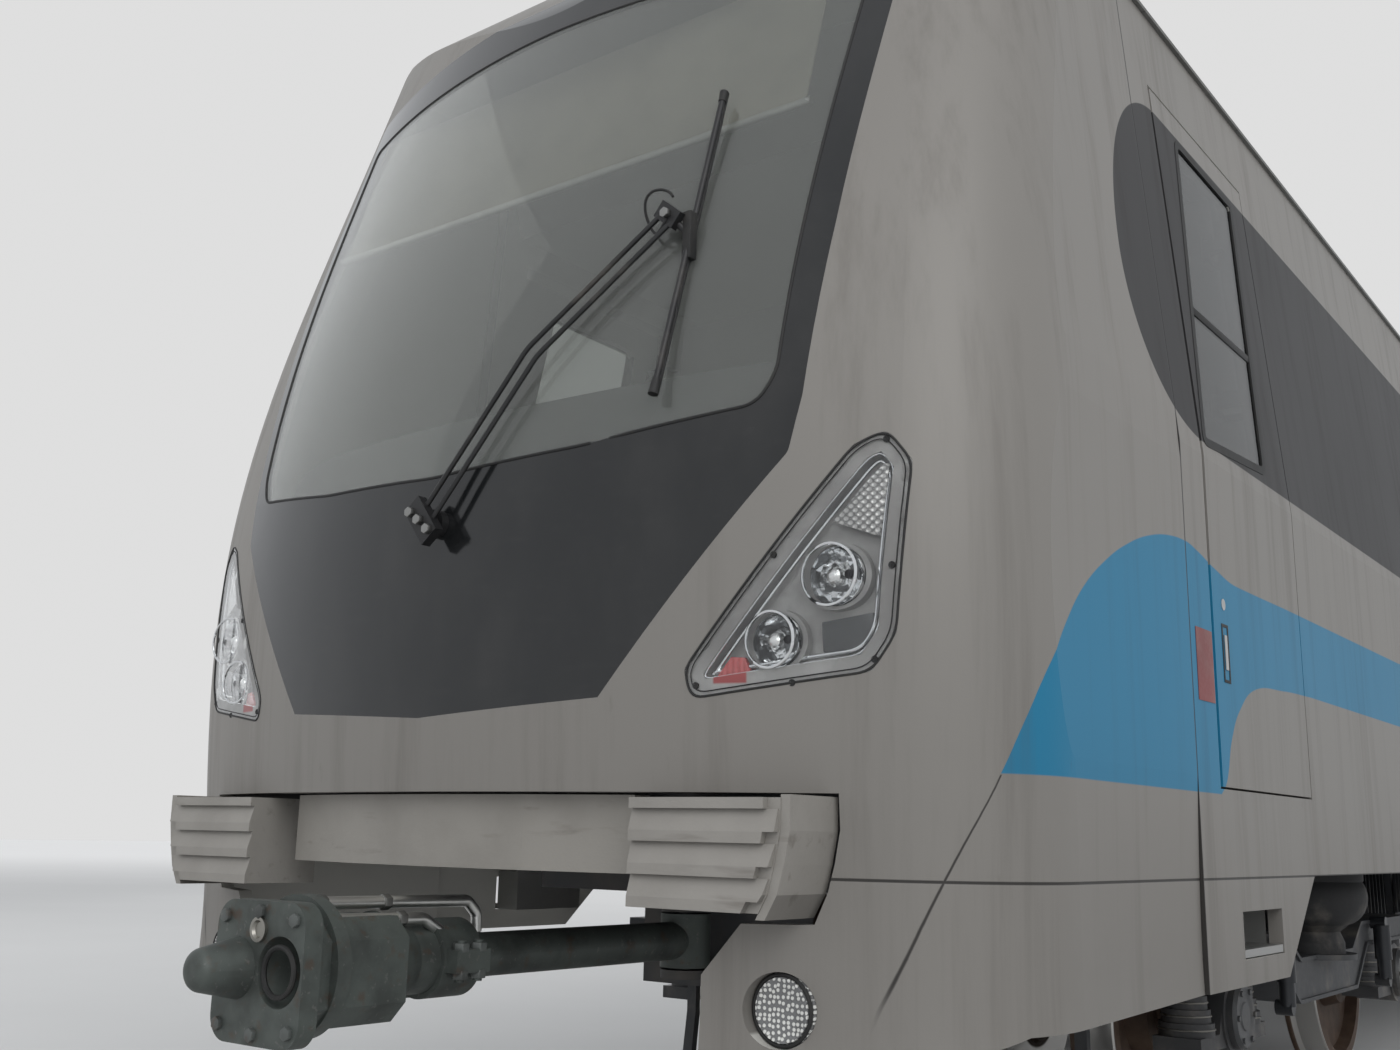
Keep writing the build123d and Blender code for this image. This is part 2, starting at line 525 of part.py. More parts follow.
save("roof", roof)
save("ac_units", *units)

# Underframe: floor slab with sole bars, cross-members, pipe runs, end beam and cab platform
inner_x = HALF_W - WALL
frame = block(-inner_x, inner_x, CAB_SEAM_Y, REAR_FACE_Y, SLAB_Z, FLOOR_Z)
cab_floor = nose_inner & block(-FAR, FAR, CLIMBER["back_y"], CAB_SEAM_Y, SLAB_Z, FLOOR_Z)
frame += cab_floor
frame += block(-inner_x, inner_x, REAR_FACE_Y - 100, REAR_FACE_Y, SOLE_Z, SLAB_Z)
for side, _ in SIDES:
    frame += on_side(block(inner_x - SOLE_T, inner_x, CAB_SEAM_Y, REAR_FACE_Y, SOLE_Z, SLAB_Z), side)
    frame += on_side(block(660 * WIDE, 1020 * WIDE, CLIMBER["back_y"], CAB_SEAM_Y, SOLE_Z, SLAB_Z), side)
cross_start = BOGIE_Y[0] + 900.0
cross_count = int((BOGIE_Y[1] - 900.0 - cross_start) / CROSS["pitch"]) + 1
cross_y = [cross_start + i * CROSS["pitch"] for i in range(cross_count)]
for y in cross_y:
    frame += block(-inner_x, inner_x, y - CROSS["width"] / 2, y + CROSS["width"] / 2, CROSS["z"], SLAB_Z)
for x in (-1180.0 * WIDE, -1120.0 * WIDE, 1150.0 * WIDE):
    frame += rod_y(18, cross_y[0] - 250, cross_y[-1] + 250, x, CROSS["z"] + 30)
save("underframe", frame)

# Bolsters: boxes across the underframe with a ribbed pivot boss and pin
bolster_x = inner_x - SOLE_T
pin_z = AXLE_Z + 10.0
bolsters = []
for y in BOGIE_Y:
    one = block(-bolster_x, bolster_x, y - 280, y + 280, BOLSTER_Z, SLAB_Z)
    one += rod_z(PIVOT_R, pin_z, BOLSTER_Z, 0, y) + Pos(0, y, BOLSTER_Z - 60) * Cone(PIVOT_R + 20, 170, 120)
    bolsters.append(one)
save("bolsters", *bolsters)

# Draft gear: pocket box, back plate with gussets, and a forked lug with the coupler's pin
lug_gap = 80.0
lug_t = 24.0
draft_boxes = []
for pivot in DRAFT_PIVOTS:
    y, way = pivot["y"], pivot["way"]
    one = block(-330, 330, y - way * 260, y + way * 320, SLAB_Z - 180, SLAB_Z)
    one += block(-260, 260, y + way * 130, y + way * 230, COUPLER_Z - 140, SLAB_Z - 180)
    gusset = ((y + way * 230, SLAB_Z - 180), (y + way * 230, COUPLER_Z - 130), (y + way * 316, SLAB_Z - 180))
    for x in (-250.0, -20.0, 210.0):
        one += along_x(outline(*gusset), x, x + 40)
    for z in (COUPLER_Z - lug_gap - lug_t, COUPLER_Z + lug_gap):
        one += block(-70, 70, y, y + way * 130, z, z + lug_t) + rod_z(70, z, z + lug_t, 0, y)
    one += rod_z(COUPLER_PIN_R, COUPLER_Z - lug_gap - lug_t, COUPLER_Z + lug_gap + lug_t, 0, y)
    draft_boxes.append(one)
save("draft_gear", *draft_boxes)

# Rear end wall with the gangway passage
PASSAGE = {"half": 650.0, "top": 3050.0}
end = along_y(body_section(WALL + 1, FLOOR_Z), REAR_FACE_Y - 100, REAR_FACE_Y)
end = end & block(-FAR, FAR, REAR_FACE_Y - 200, REAR_FACE_Y + 10, FLOOR_Z, CEILING_Z - 1)
end -= block(-PASSAGE["half"], PASSAGE["half"], REAR_FACE_Y - 200, REAR_FACE_Y + 10, FLOOR_Z, PASSAGE["top"])
save("rear_end_wall", end)

# Gangway: folded bellows, end frame and bridge plate
GANGWAY = {"half": 790.0, "z0": 1035.0, "z1": 3165.0, "folds": 5, "rise": 30.0, "frame_t": 50.0, "r": 120.0}
OPENING = {"half": 690.0, "z0": 1090.0, "z1": 3095.0}
gangway_end = LENGTH_OVERALL / 2 - 30.0
fold_pitch = (gangway_end - GANGWAY["frame_t"] - REAR_FACE_Y) / GANGWAY["folds"]


def bellows_plan(y, rise):
    """Rounded outline of the bellows at one station, raised at the crest of a fold."""
    height = GANGWAY["z1"] - GANGWAY["z0"] + 2 * rise
    frame_outline = RectangleRounded(2 * (GANGWAY["half"] + rise), height, GANGWAY["r"])
    return Plane.XZ.offset(-y) * Pos(0, (GANGWAY["z0"] + GANGWAY["z1"]) / 2) * frame_outline


frame_y = gangway_end - GANGWAY["frame_t"]
gangway = block(-820, 820, frame_y, gangway_end, 1010, 3190)
for i in range(GANGWAY["folds"]):
    fold_y = REAR_FACE_Y + i * fold_pitch
    run = ((0.0, 0.0), (fold_pitch / 2, GANGWAY["rise"]), (fold_pitch, 0.0))
    gangway += loft([bellows_plan(fold_y + y, rise) for y, rise in run], ruled=True)
gangway -= block(-OPENING["half"], OPENING["half"], REAR_FACE_Y - 5, gangway_end + 5, OPENING["z0"], OPENING["z1"])
gangway += block(-600, 600, REAR_FACE_Y, gangway_end, OPENING["z0"], OPENING["z0"] + 14)
save("gangway", gangway)

# Cab partition and the door hinged on its saloon side
partition_y1 = CAB_REAR_Y + 50.0
INNER_DOOR = {"half": 350.0, "top": 3050.0, "gap": 6.0, "window": (180.0, 2300.0, 2800.0)}
INNER_HINGE_Z = (FLOOR_Z + 300.0, 2000.0, 2800.0)
inner_hinge = (-INNER_DOOR["half"] - 2, partition_y1 + 12)
partition = along_y(body_section(WALL + 2, FLOOR_Z), CAB_REAR_Y, partition_y1)
partition = partition & block(-FAR, FAR, NOSE_Y, REAR_FACE_Y, FLOOR_Z, CEILING_Z - 1)
partition -= block(-INNER_DOOR["half"], INNER_DOOR["half"], NOSE_Y, REAR_FACE_Y, FLOOR_Z, INNER_DOOR["top"])
door_half = INNER_DOOR["half"] - INNER_DOOR["gap"]
inner_door = block(-door_half, door_half, CAB_REAR_Y + 6, partition_y1 - 6, FLOOR_Z + 6, INNER_DOOR["top"] - 6)
pane_half, pane_z0, pane_z1 = INNER_DOOR["window"]
inner_door -= block(-pane_half, pane_half, CAB_REAR_Y, partition_y1 + 10, pane_z0, pane_z1)
for z in INNER_HINGE_Z:
    inner_door += rod_z(9, z - 30, z + 30, *inner_hinge)
    inner_door += block(inner_hinge[0], 45 - door_half, inner_hinge[1] - 5, inner_hinge[1] + 5, z - 28, z + 28)
    inner_door += block(12 - door_half, 45 - door_half, partition_y1 - 7, inner_hinge[1] + 5, z - 28, z + 28)
    for z0 in (z - 52, z + 32):
        partition += rod_z(9, z0, z0 + 20, *inner_hinge)
        partition += block(inner_hinge[0] - 45, inner_hinge[0], partition_y1 - 1, inner_hinge[1] + 5, z0, z0 + 20)
save("cab_partition", partition)
save("cab_inner_door", inner_door)

# Driver's desk: instrument cowl, sloping top and a knee space between two pedestals
DESK_TOP = FLOOR_Z + 700.0
DESK = {"half": 1080.0 * WIDE, "knee_half": 430.0, "cowl_z": FLOOR_Z + 930.0, "inset": 150.0}
desk_run = [
    (NOSE_Y, FLOOR_Z),
    (NOSE_Y, DESK["cowl_z"] - 60),
    (NOSE_Y + 290, DESK["cowl_z"]),
    (NOSE_Y + 370, DESK["cowl_z"]),
    (NOSE_Y + 390, DESK["cowl_z"] - 25),
    (NOSE_Y + 450, DESK_TOP + 45),
    (NOSE_Y + 520, DESK_TOP + 12),
    (NOSE_Y + 800, DESK_TOP - 25),
    (NOSE_Y + 830, DESK_TOP - 45),
    (NOSE_Y + 820, DESK_TOP - 70),
    (NOSE_Y + 760, DESK_TOP - 80),
    (NOSE_Y + 720, FLOOR_Z),
]
nose_desk = nose_form(DESK["inset"])
desk = along_x(outline(*desk_run), -DESK["half"], DESK["half"]) & nose_desk
knee = ((NOSE_Y + 470, FLOOR_Z), (NOSE_Y + 430, DESK_TOP - 110), (NOSE_Y + 900, DESK_TOP - 82), (NOSE_Y + 900, FLOOR_Z))
desk -= along_x(outline(*knee), -DESK["knee_half"], DESK["knee_half"])
save("driver_desk", desk)

# Driver's seat: cushions on a pan and a reclined back plate over a pedestal
seat_y = CAB_REAR_Y - 1010.0
PAN_Z = FLOOR_Z + 440.0
recline = Pos(0, seat_y + 222, PAN_Z + 60) * Rot(-8, 0, 0)
cushion = block(-235, 235, seat_y - 230, seat_y + 190, PAN_Z, PAN_Z + 95)
cushion = fillet(cushion.edges().filter_by(Axis.Z) + cushion.edges().group_by(Axis.Z)[-1], 30)
backrest = fillet(Box(450, 84, 560).edges().filter_by(Axis.Y), 60)
backrest = recline * Pos(0, 0, 330) * fillet(backrest.faces().sort_by(Axis.Y)[0].edges(), 25)
headrest = recline * Pos(0, 6, 710) * fillet(Box(270, 70, 150).edges().filter_by(Axis.Y), 40)
save("driver_seat_cushions", cushion, backrest, headrest)
seat = block(-210, 210, seat_y - 200, seat_y + 170, PAN_Z - 24, PAN_Z)
seat += block(-60, 60, seat_y + 100, seat_y + 330, PAN_Z - 60, PAN_Z - 24)
seat += recline * (Pos(0, 49, 330) * Box(380, 14, 480) + Pos(0, 49, 330) * Box(110, 14, 860))
for i in range(4):
    seat += rod_z(95 - 8 * (i % 2), PAN_Z - 180 + i * 39, PAN_Z - 141 + i * 39, 0, seat_y - 15)
seat += rod_z(55, FLOOR_Z, PAN_Z - 180, 0, seat_y - 15) + block(-190, 190, seat_y - 190, seat_y + 170, FLOOR_Z, FLOOR_Z + 18)
save("driver_seat_base", seat)

# Saloon: benches on brackets along the walls, grab poles and rails
bench_x = HALF_W - WALL
BENCH_RUN = (
    (0, 340),
    (0, 830),
    (-38, 830),
    (-62, 620),
    (-100, 470),
    (-140, 432),
    (-420, 452),
    (-446, 430),
    (-430, 400),
    (-130, 372),
    (-60, 340),
)
bench_face = outline(*[(bench_x + x, FLOOR_Z + z) for x, z in BENCH_RUN])
bench_face = fillet([v for v in bench_face.vertices() if v.X < bench_x - 30], 16)
bracket_run = ((0, 345), (-70, 345), (-340, 398), (-300, 360), (0, 140))
bracket_face = outline(*[(bench_x + x, FLOOR_Z + z) for x, z in bracket_run])
door_clear = DOORWAY_W / 2 + 250.0
bench_ends = [(CAB_REAR_Y + 480.0, centres[0] - door_clear)]
bench_ends += [(y + door_clear, y + DOOR_PITCH - door_clear) for y in centres[:-1]]
bench_ends.append((centres[-1] + door_clear, REAR_FACE_Y - 200.0))
benches = []
for y0, y1 in bench_ends:
    bench = along_y(bench_face, y0, y1)
    count = max(2, round((y1 - y0) / 800))
    for i in range(count):
        y = y0 + 120 + i * (y1 - y0 - 240) / (count - 1)
        bench += along_y(bracket_face, y - 14, y + 14)
    benches.append(bench)
save("benches", both_sides(Compound(children=benches)))
POLE = {"r": 17.0, "x": 820.0 * WIDE, "door_gap": 50.0, "rail_z": FLOOR_Z + 1880.0, "rail_r": 15.0}
pole_rows = [c + way * (DOORWAY_W / 2 + POLE["door_gap"]) for c in centres for way in (-1, 1)]
side_poles = rod_y(POLE["rail_r"], pole_rows[0] - 900, pole_rows[-1] + 400, POLE["x"], POLE["rail_z"])
for y in pole_rows:
    side_poles += rod_z(POLE["r"], FLOOR_Z, CEILING_Z, POLE["x"], y)
save("grab_poles", both_sides(side_poles), *[rod_z(POLE["r"], FLOOR_Z, CEILING_Z, 0, y) for y in mid_bays])

# Underfloor cases hung on the cross-members, with panelled sides
CASES = (
    {"node": "inverter_case", "x": (-1150.0, 200.0), "first": 4, "last": 7, "over": 350.0, "z": 430.0, "lids": 4},
    {"node": "battery_box", "x": (-1150.0, 1150.0), "first": 9, "last": 11, "over": 60.0, "z": 460.0, "lids": 2},
)
LID = {"margin": 50.0, "depth": 12.0}
for case in CASES:
    x0, x1 = (x * WIDE for x in case["x"])
    y0 = cross_y[case["first"]] - case["over"]
    y1 = cross_y[case["last"]] + case["over"]
    box = block(x0, x1, y0, y1, case["z"], CROSS["z"])
    box = chamfer(box.edges().group_by(Axis.Z)[0].filter_by(Axis.Y), 45)
    pitch = (y1 - y0) / case["lids"]
    for i in range(case["lids"]):
        lid_y = (y0 + i * pitch + LID["margin"], y0 + (i + 1) * pitch - LID["margin"])
        for face_x, way in ((x0, 1), (x1, -1)):
            box -= block(face_x - way * 5, face_x + way * LID["depth"], *lid_y, case["z"] + 90, CROSS["z"] - 50)
    if case["node"] == "inverter_case":
        for i in range(24):
            fin_y = y0 + 300 + i * (y1 - y0 - 600) / 23
            box += block(x1 - 20, x1 + 70, fin_y - 8, fin_y + 8, case["z"] + 100, CROSS["z"] - 60)
    save(case["node"], box)

# Air supply: finned compressor in a cradle, and two strapped reservoirs with domed ends
PUMP = {"x": 800.0 * WIDE, "r": 140.0, "z": 680.0}
TANK = {"r": 165.0, "z": 715.0, "dome": 110.0, "over": 400.0}
pump_y = (cross_y[4] - 250, cross_y[5] + 250)
cradle = block(PUMP["x"] - 300, PUMP["x"] + 300, *pump_y, 490, 520)
for x in (PUMP["x"] - 280, PUMP["x"] + 280):
    for y in (cross_y[4], cross_y[5]):
        cradle += block(x - 18, x + 18, y - 25, y + 25, 515, CROSS["z"])
cradle += rod_y(PUMP["r"], pump_y[0] + 60, pump_y[0] + 620, PUMP["x"], PUMP["z"])
cradle += block(PUMP["x"] - 110, PUMP["x"] + 110, pump_y[0] + 90, pump_y[0] + 590, 515, PUMP["z"])
cradle += block(PUMP["x"] - 150, PUMP["x"] + 150, pump_y[0] + 640, pump_y[1] - 60, 515, PUMP["z"] + 40)
cradle += rod_y(60, pump_y[0] + 600, pump_y[0] + 660, PUMP["x"], PUMP["z"])
for way in (-1, 1):
    for i in range(6):
        fin = Pos(PUMP["x"] + way * (140 + i * 22), pump_y[0] + 800, PUMP["z"] + 40) * Rot(0, 90, 0) * Cylinder(105, 9)
        cradle += fin
    cradle += rod_x(70, PUMP["x"] + way * 100, PUMP["x"] + way * 262, pump_y[0] + 800, PUMP["z"] + 40)
tanks = []
for x in (630.0 * WIDE, 630.0 * WIDE + 400.0):
    tank = rod_y(TANK["r"], cross_y[7] - TANK["over"], cross_y[8] + TANK["over"], x, TANK["z"])
    tank = fillet(tank.edges().filter_by(GeomType.CIRCLE), TANK["dome"])
    for y in (cross_y[7], cross_y[8]):
        tank += rod_y(TANK["r"] + 7, y - 25, y + 25, x, TANK["z"])
        tank += block(x - 60, x + 60, y - 25, y + 25, TANK["z"] + 100, CROSS["z"])
    tanks.append(tank)
save("air_supply", cradle, *tanks)

# Bogies: dropped side beams, tube transoms, brake callipers and rail guards
HALF_BASE = WHEELBASE / 2
DISC = {"x": 330.0, "r": 290.0, "half_t": 45.0, "pad_gap": 6.0}
BEAM = {"x0": 890.0, "x1": 1070.0, "end": 330.0, "h": 100.0, "seat": 380.0, "drop": 160.0, "flange": 14.0}
SPRING_SEAT_R = 190.0
BEAM_HALF = (
    (HALF_BASE + BEAM["end"], 0),
    (HALF_BASE + BEAM["end"], BEAM["h"]),
    (BEAM["seat"] + 170, BEAM["h"]),
    (BEAM["seat"], 0),
)
BELLY_HALF = ((420, -BEAM["drop"]), (640, 0))
beam_points = [*BEAM_HALF, *[(-y, z) for y, z in reversed(BEAM_HALF)], *[(-y, z) for y, z in reversed(BELLY_HALF)]]
beam_points += list(BELLY_HALF)
beam_face = outline(*[(y, BEAM_Z + z) for y, z in beam_points])
beam_face = fillet(beam_face.vertices(), 30)
web_face = offset(beam_face, amount=-BEAM["flange"])
beam = along_x(beam_face, BEAM["x0"], BEAM["x1"])
beam = beam - along_x(web_face, BEAM["x1"] - 10, BEAM["x1"] + 5) - along_x(web_face, BEAM["x0"] - 5, BEAM["x0"] + 10)
beam += rod_z(SPRING_SEAT_R, BEAM_Z - 20, BEAM_Z, JOURNAL_X, 0)
frame_z = AXLE_Z + 55.0
half_frame = beam
for way in (-1, 1):
    half_frame += rod_x(80, 0, BEAM["x0"] + 15, way * 165, frame_z)
    arm_y = way * (HALF_BASE - DISC["r"])
    inside = DISC["half_t"] + DISC["pad_gap"]
    half_frame += block(DISC["x"] - 40, DISC["x"] + 40, way * 220, arm_y - way * 130, frame_z - 25, frame_z + 25)
    half_frame += block(DISC["x"] - 85, DISC["x"] + 85, arm_y - way * 140, arm_y - way * 20, frame_z - 50, frame_z + 50)
    for x in (DISC["x"] - inside - 34, DISC["x"] + inside):
        half_frame += block(x, x + 34, arm_y - way * 30, arm_y + way * 110, frame_z - 55, frame_z + 35)
half_frame += block(0, 200, -165, 165, frame_z - 50, frame_z + 50) + rod_z(125, frame_z - 85, frame_z + 85, 0, 0)
bogie = half_frame + on_side(half_frame, -1) - rod_z(PIVOT_R + JOURNAL_CLEAR, 0, 900, 0, 0)
GUARD = {"x0": 735.0, "x1": 775.0, "reach": 500.0, "t": 40.0, "foot_z": 120.0}
guard_y = HALF_BASE + GUARD["reach"]
guard = block(900, 1060, HALF_BASE + BEAM["end"] - 40, guard_y, BEAM_Z + 30, BEAM_Z + 80)
guard += block(GUARD["x0"] - 15, 1060, guard_y, guard_y + GUARD["t"], BEAM_Z + 30, BEAM_Z + 80)
guard_run = (
    (guard_y + 8, BEAM_Z + 60),
    (guard_y + 34, BEAM_Z + 60),
    (guard_y + 34, 320),
    (guard_y + 64, GUARD["foot_z"]),
    (guard_y + 34, GUARD["foot_z"]),
    (guard_y + 8, 310),
)
guard += along_x(outline(*guard_run), GUARD["x0"], GUARD["x1"])

# Axleboxes with wings for the stepped conical springs, and the air springs
BOX_R = 125.0
saddle_half = ((BEAM["end"], AXLE_Z - 90), (BEAM["end"], AXLE_Z - 45), (150, AXLE_Z - 45), (90, AXLE_Z + 100))
saddle_face = outline(*saddle_half, *[(-y, z) for y, z in reversed(saddle_half)])
axlebox = along_x(saddle_face, BEAM["x0"] + 15, BEAM["x1"] - 15)
axlebox += rod_x(BOX_R, BEAM["x0"] + 5, BEAM["x1"] - 8, 0, AXLE_Z) + rod_x(BOX_R - 22, BEAM["x1"] - 8, BEAM["x1"] + 12, 0, AXLE_Z)
axlebox -= rod_x(JOURNAL_R + JOURNAL_CLEAR, BEAM["x0"] - 40, JOURNAL_X + 51, 0, AXLE_Z)
SPRING_STEPS = ((85, 40), (75, 40), (66, 40), (58, 65))
for way in (-1, 1):
    spring_z = AXLE_Z - 45.0
    for radius, height in SPRING_STEPS:
        axlebox += rod_z(radius, spring_z, spring_z + height, JOURNAL_X, way * 235)
        spring_z += height
axlebox_pair = [on_side(axlebox, side) for side, _ in SIDES]
AIR_SPRING = {"base_r": 150.0, "neck_r": 135.0, "lobe_r": 240.0, "top_r": 232.0}
spring_top = BOLSTER_Z - BEARING_GAP
lobe_low = (AIR_SPRING["neck_r"] + 30, BEAM_Z + 105)
lobe_high = (AIR_SPRING["lobe_r"] - 12, spring_top - 30)
spring_face = make_face(
    [
        Polyline(
            lobe_low,
            (AIR_SPRING["neck_r"], BEAM_Z + 80),
            (AIR_SPRING["base_r"], BEAM_Z + 40),
            (AIR_SPRING["base_r"], BEAM_Z),
            (0, BEAM_Z),
            (0, spring_top),
            (AIR_SPRING["top_r"], spring_top),
            (AIR_SPRING["top_r"], spring_top - 24),
            lobe_high,
        ),
        ThreePointArc(lobe_high, (AIR_SPRING["lobe_r"], (lobe_low[1] + lobe_high[1]) / 2), lobe_low),
    ]
)
air_spring = revolve(Plane.XZ * spring_face, Axis.Z)
for centre, way, name in zip(BOGIE_Y, (-1, 1), ("front", "rear")):
    end_guard = guard if way > 0 else mirror(guard, about=Plane.XZ)
    one = bogie + end_guard + on_side(end_guard, -1)
    save(f"bogie_frame_{name}", Pos(0, centre, 0) * one)
    rows = (centre - HALF_BASE, centre + HALF_BASE)
    save(f"axleboxes_{name}", *[Pos(0, y, 0) * box for y in rows for box in axlebox_pair])
    save(f"air_springs_{name}", *[Pos(side * JOURNAL_X, centre, 0) * air_spring for side, _ in SIDES])

# Wheelsets: wheels and brake discs turned as sections of distance along the axle and radius
WHEEL_SECTION = (
    (0, WHEEL_R - 54),
    (0, WHEEL_R + 20),
    (7, WHEEL_R + FLANGE_DEPTH),
    (20, WHEEL_R + FLANGE_DEPTH),
    (31, WHEEL_R + 14),
    (40, WHEEL_R + 1),
    (130, WHEEL_R - 4),
    (WHEEL_W, WHEEL_R - 9),
    (WHEEL_W, WHEEL_R - 54),
    (84, WHEEL_R - 66),
    (76, 172),
    (145, 150),
    (145, 70),
    (-15, 70),
    (-15, 150),
    (48, 172),
    (58, WHEEL_R - 66),
)
DISC_SECTION = ((60, 80), (60, 140), (45, 150), (45, DISC["r"]), (25, DISC["r"]), (25, 190))
wheel = revolve(outline(*[(GAUGE_BACK / 2 + x, r) for x, r in WHEEL_SECTION]), Axis.X)
disc_points = [(DISC["x"] + x, r) for x, r in DISC_SECTION]
disc_points += [(DISC["x"] - x, r) for x, r in reversed(DISC_SECTION)]
disc = revolve(outline(*disc_points), Axis.X)
axle_half = GAUGE_BACK / 2 + 146.0
axle = rod_x(85, -axle_half, axle_half, 0, 0) + rod_x(JOURNAL_R, -JOURNAL_X - 45, JOURNAL_X + 45, 0, 0)
for piece in (wheel, disc):
    for side, _ in SIDES:
        axle += on_side(piece, side)
for number, y in enumerate([c + d for c in BOGIE_Y for d in (-HALF_BASE, HALF_BASE)], start=1):
    save(f"wheelset_{number}", Pos(0, y, AXLE_Z) * axle)

# Front coupler: face plate with cone and funnel, disc, body, bolted clamp, bar with air pipes, eye
EYE_R = 72.0
EYE_HALF = 74.0
PIN_CLEAR = 0.5
face_y = COUPLER_FACE_Y
pivot_y = DRAFT_PIVOTS[0]["y"]
CLAMP = {"y0": 440.0, "y1": 560.0, "r": 90.0, "ear": 124.0, "bolt_r": 11.0}
plate = block(-150, 150, face_y, face_y + 45, COUPLER_Z - 150, COUPLER_Z + 140)
plate = fillet(plate.edges().filter_by(Axis.Y), 55)
housing = block(-125, 125, face_y + 44, face_y + 300, COUPLER_Z - 120, COUPLER_Z + 105)
housing = chamfer(housing.edges().filter_by(Axis.Y), 45)
cone = fillet(Cone(66, 40, CONE_REACH + 10).edges().sort_by(Axis.Z)[-1], 28)
front_coupler = plate + housing + rod_y(150, face_y + 90, face_y + 125, 0, COUPLER_Z + 2)
front_coupler += Pos(0, face_y + 340, COUPLER_Z) * Rot(90, 0, 0) * Cone(78, 112, 84)
front_coupler += rod_y(78, face_y + 380, face_y + 450, 0, COUPLER_Z)
front_coupler += rod_y(CLAMP["r"], face_y + CLAMP["y0"], face_y + CLAMP["y1"], 0, COUPLER_Z)
ear = CLAMP["ear"]
front_coupler += block(-ear, ear, face_y + CLAMP["y0"] + 8, face_y + CLAMP["y1"] - 8, COUPLER_Z - 26, COUPLER_Z + 26)
front_coupler += rod_y(52, face_y + 540, pivot_y, 0, COUPLER_Z)
for side, _ in SIDES:
    for y in (CLAMP["y0"] + 32, CLAMP["y1"] - 32):
        front_coupler += rod_z(CLAMP["bolt_r"], COUPLER_Z - 46, COUPLER_Z + 46, side * (ear - 16), face_y + y)
front_coupler += Pos(-72, face_y + 5 - CONE_REACH / 2, COUPLER_Z) * Rot(90, 0, 0) * cone
front_coupler -= Pos(72, face_y + 55, COUPLER_Z) * Rot(90, 0, 0) * Cone(36, 72, 112)
PIPES = (
    {"r": 12.0, "x": 0.0, "run": ((100, 132), (585, 128), (618, 98), (620, 20)), "bend": 24.0},
    {"r": 12.0, "x": 44.0, "run": ((130, 98), (410, 94), (520, 30), (600, 10)), "bend": 45.0},
    {"r": 14.0, "x": -60.0, "run": ((90, -70), (640, -84), (700, -20)), "bend": 45.0},
)
for line in PIPES:
    points = [(line["x"], face_y + y, COUPLER_Z + z) for y, z in line["run"]]
    front_coupler += pipe(line["r"], line["bend"], *points)
front_coupler += rod_z(EYE_R, COUPLER_Z - EYE_HALF, COUPLER_Z + EYE_HALF, 0, pivot_y)
front_coupler -= rod_z(COUPLER_PIN_R + PIN_CLEAR, 300, 1000, 0, pivot_y)
save("front_coupler", front_coupler)

# Rear drawbar: bar with a bolt flange for the next car
FLANGE = {"r": 160.0, "pcd": 240.0, "hole_r": 13.0, "count": 6, "t": 40.0}
rear_y = DRAFT_PIVOTS[1]["y"]
flange_y = LENGTH_OVERALL / 2 - FLANGE["t"]
drawbar = rod_y(62, rear_y, flange_y + 5, 0, COUPLER_Z) + rod_y(85, flange_y - 260, flange_y - 60, 0, COUPLER_Z)
drawbar += Pos(0, flange_y - 30, COUPLER_Z) * Rot(90, 0, 0) * Cone(100, 62, 60)
drawbar += rod_z(EYE_R, COUPLER_Z - EYE_HALF, COUPLER_Z + EYE_HALF, 0, rear_y)
drawbar += rod_y(FLANGE["r"], flange_y, LENGTH_OVERALL / 2, 0, COUPLER_Z)
for i in range(FLANGE["count"]):
    angle = 2 * math.pi * i / FLANGE["count"]
    hole_x = FLANGE["pcd"] / 2 * math.cos(angle)
    hole_z = COUPLER_Z + FLANGE["pcd"] / 2 * math.sin(angle)
    drawbar -= rod_y(FLANGE["hole_r"], flange_y - 5, LENGTH_OVERALL / 2 + 5, hole_x, hole_z)
drawbar -= rod_z(COUPLER_PIN_R + PIN_CLEAR, 300, 1000, 0, rear_y)
save("rear_drawbar", drawbar)

# Wiper: two parallel arms from a pivot block to a bracket that carries the blade
WIPER = {"arm_r": 6.5, "arm_gap": 16.0, "blade_r": 8.0, "spindle_r": 20.0}
WIPER_PLACES = {
    "pivot": (40.0, -52.0, 1678.0),
    "bend": (318.0, 6.0, 2067.0),
    "bracket": (633.0, 124.0, 2380.0),
    "blade_top": (697.0, 246.0, 2734.0),
    "blade_low": (658.0, 52.0, 1915.0),
}
place = {name: (x * WIDE, NOSE_Y + y, z) for name, (x, y, z) in WIPER_PLACES.items()}
px, py, pz = place["pivot"]
wiper = (rod_y(WIPER["spindle_r"], py, py + 90, px, pz) + rod_y(34, py + 28, py + 90, px, pz)) - nose_outer
wiper += Pos(px, py, pz) * Rot(0, 52, 0) * Box(112, 26, 58)
for sign in (-1, 1):
    shift = sign * WIPER["arm_gap"]
    run = [(x + shift, y, z - shift * 0.8) for x, y, z in (place["pivot"], place["bend"], place["bracket"])]
    wiper += pipe(WIPER["arm_r"], 160, *run)
bx, by, bz = place["bracket"]
wiper += Pos(bx, by, bz) * Rot(0, 40, 0) * Box(70, 20, 44)
blade_mid = tuple((a + b) / 2 for a, b in zip(place["blade_top"], place["blade_low"]))
wiper += pipe(WIPER["blade_r"], 0, place["blade_low"], place["blade_top"])
wiper += pipe(9, 0, place["bracket"], blade_mid)
save("wiper", wiper)
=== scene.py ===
"""Looks for a metro cab car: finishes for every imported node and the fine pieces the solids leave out."""
import json
import logging
import math
from collections.abc import Callable
from dataclasses import dataclass
from enum import Enum

import bmesh
import bpy
from mathutils import Matrix, Vector


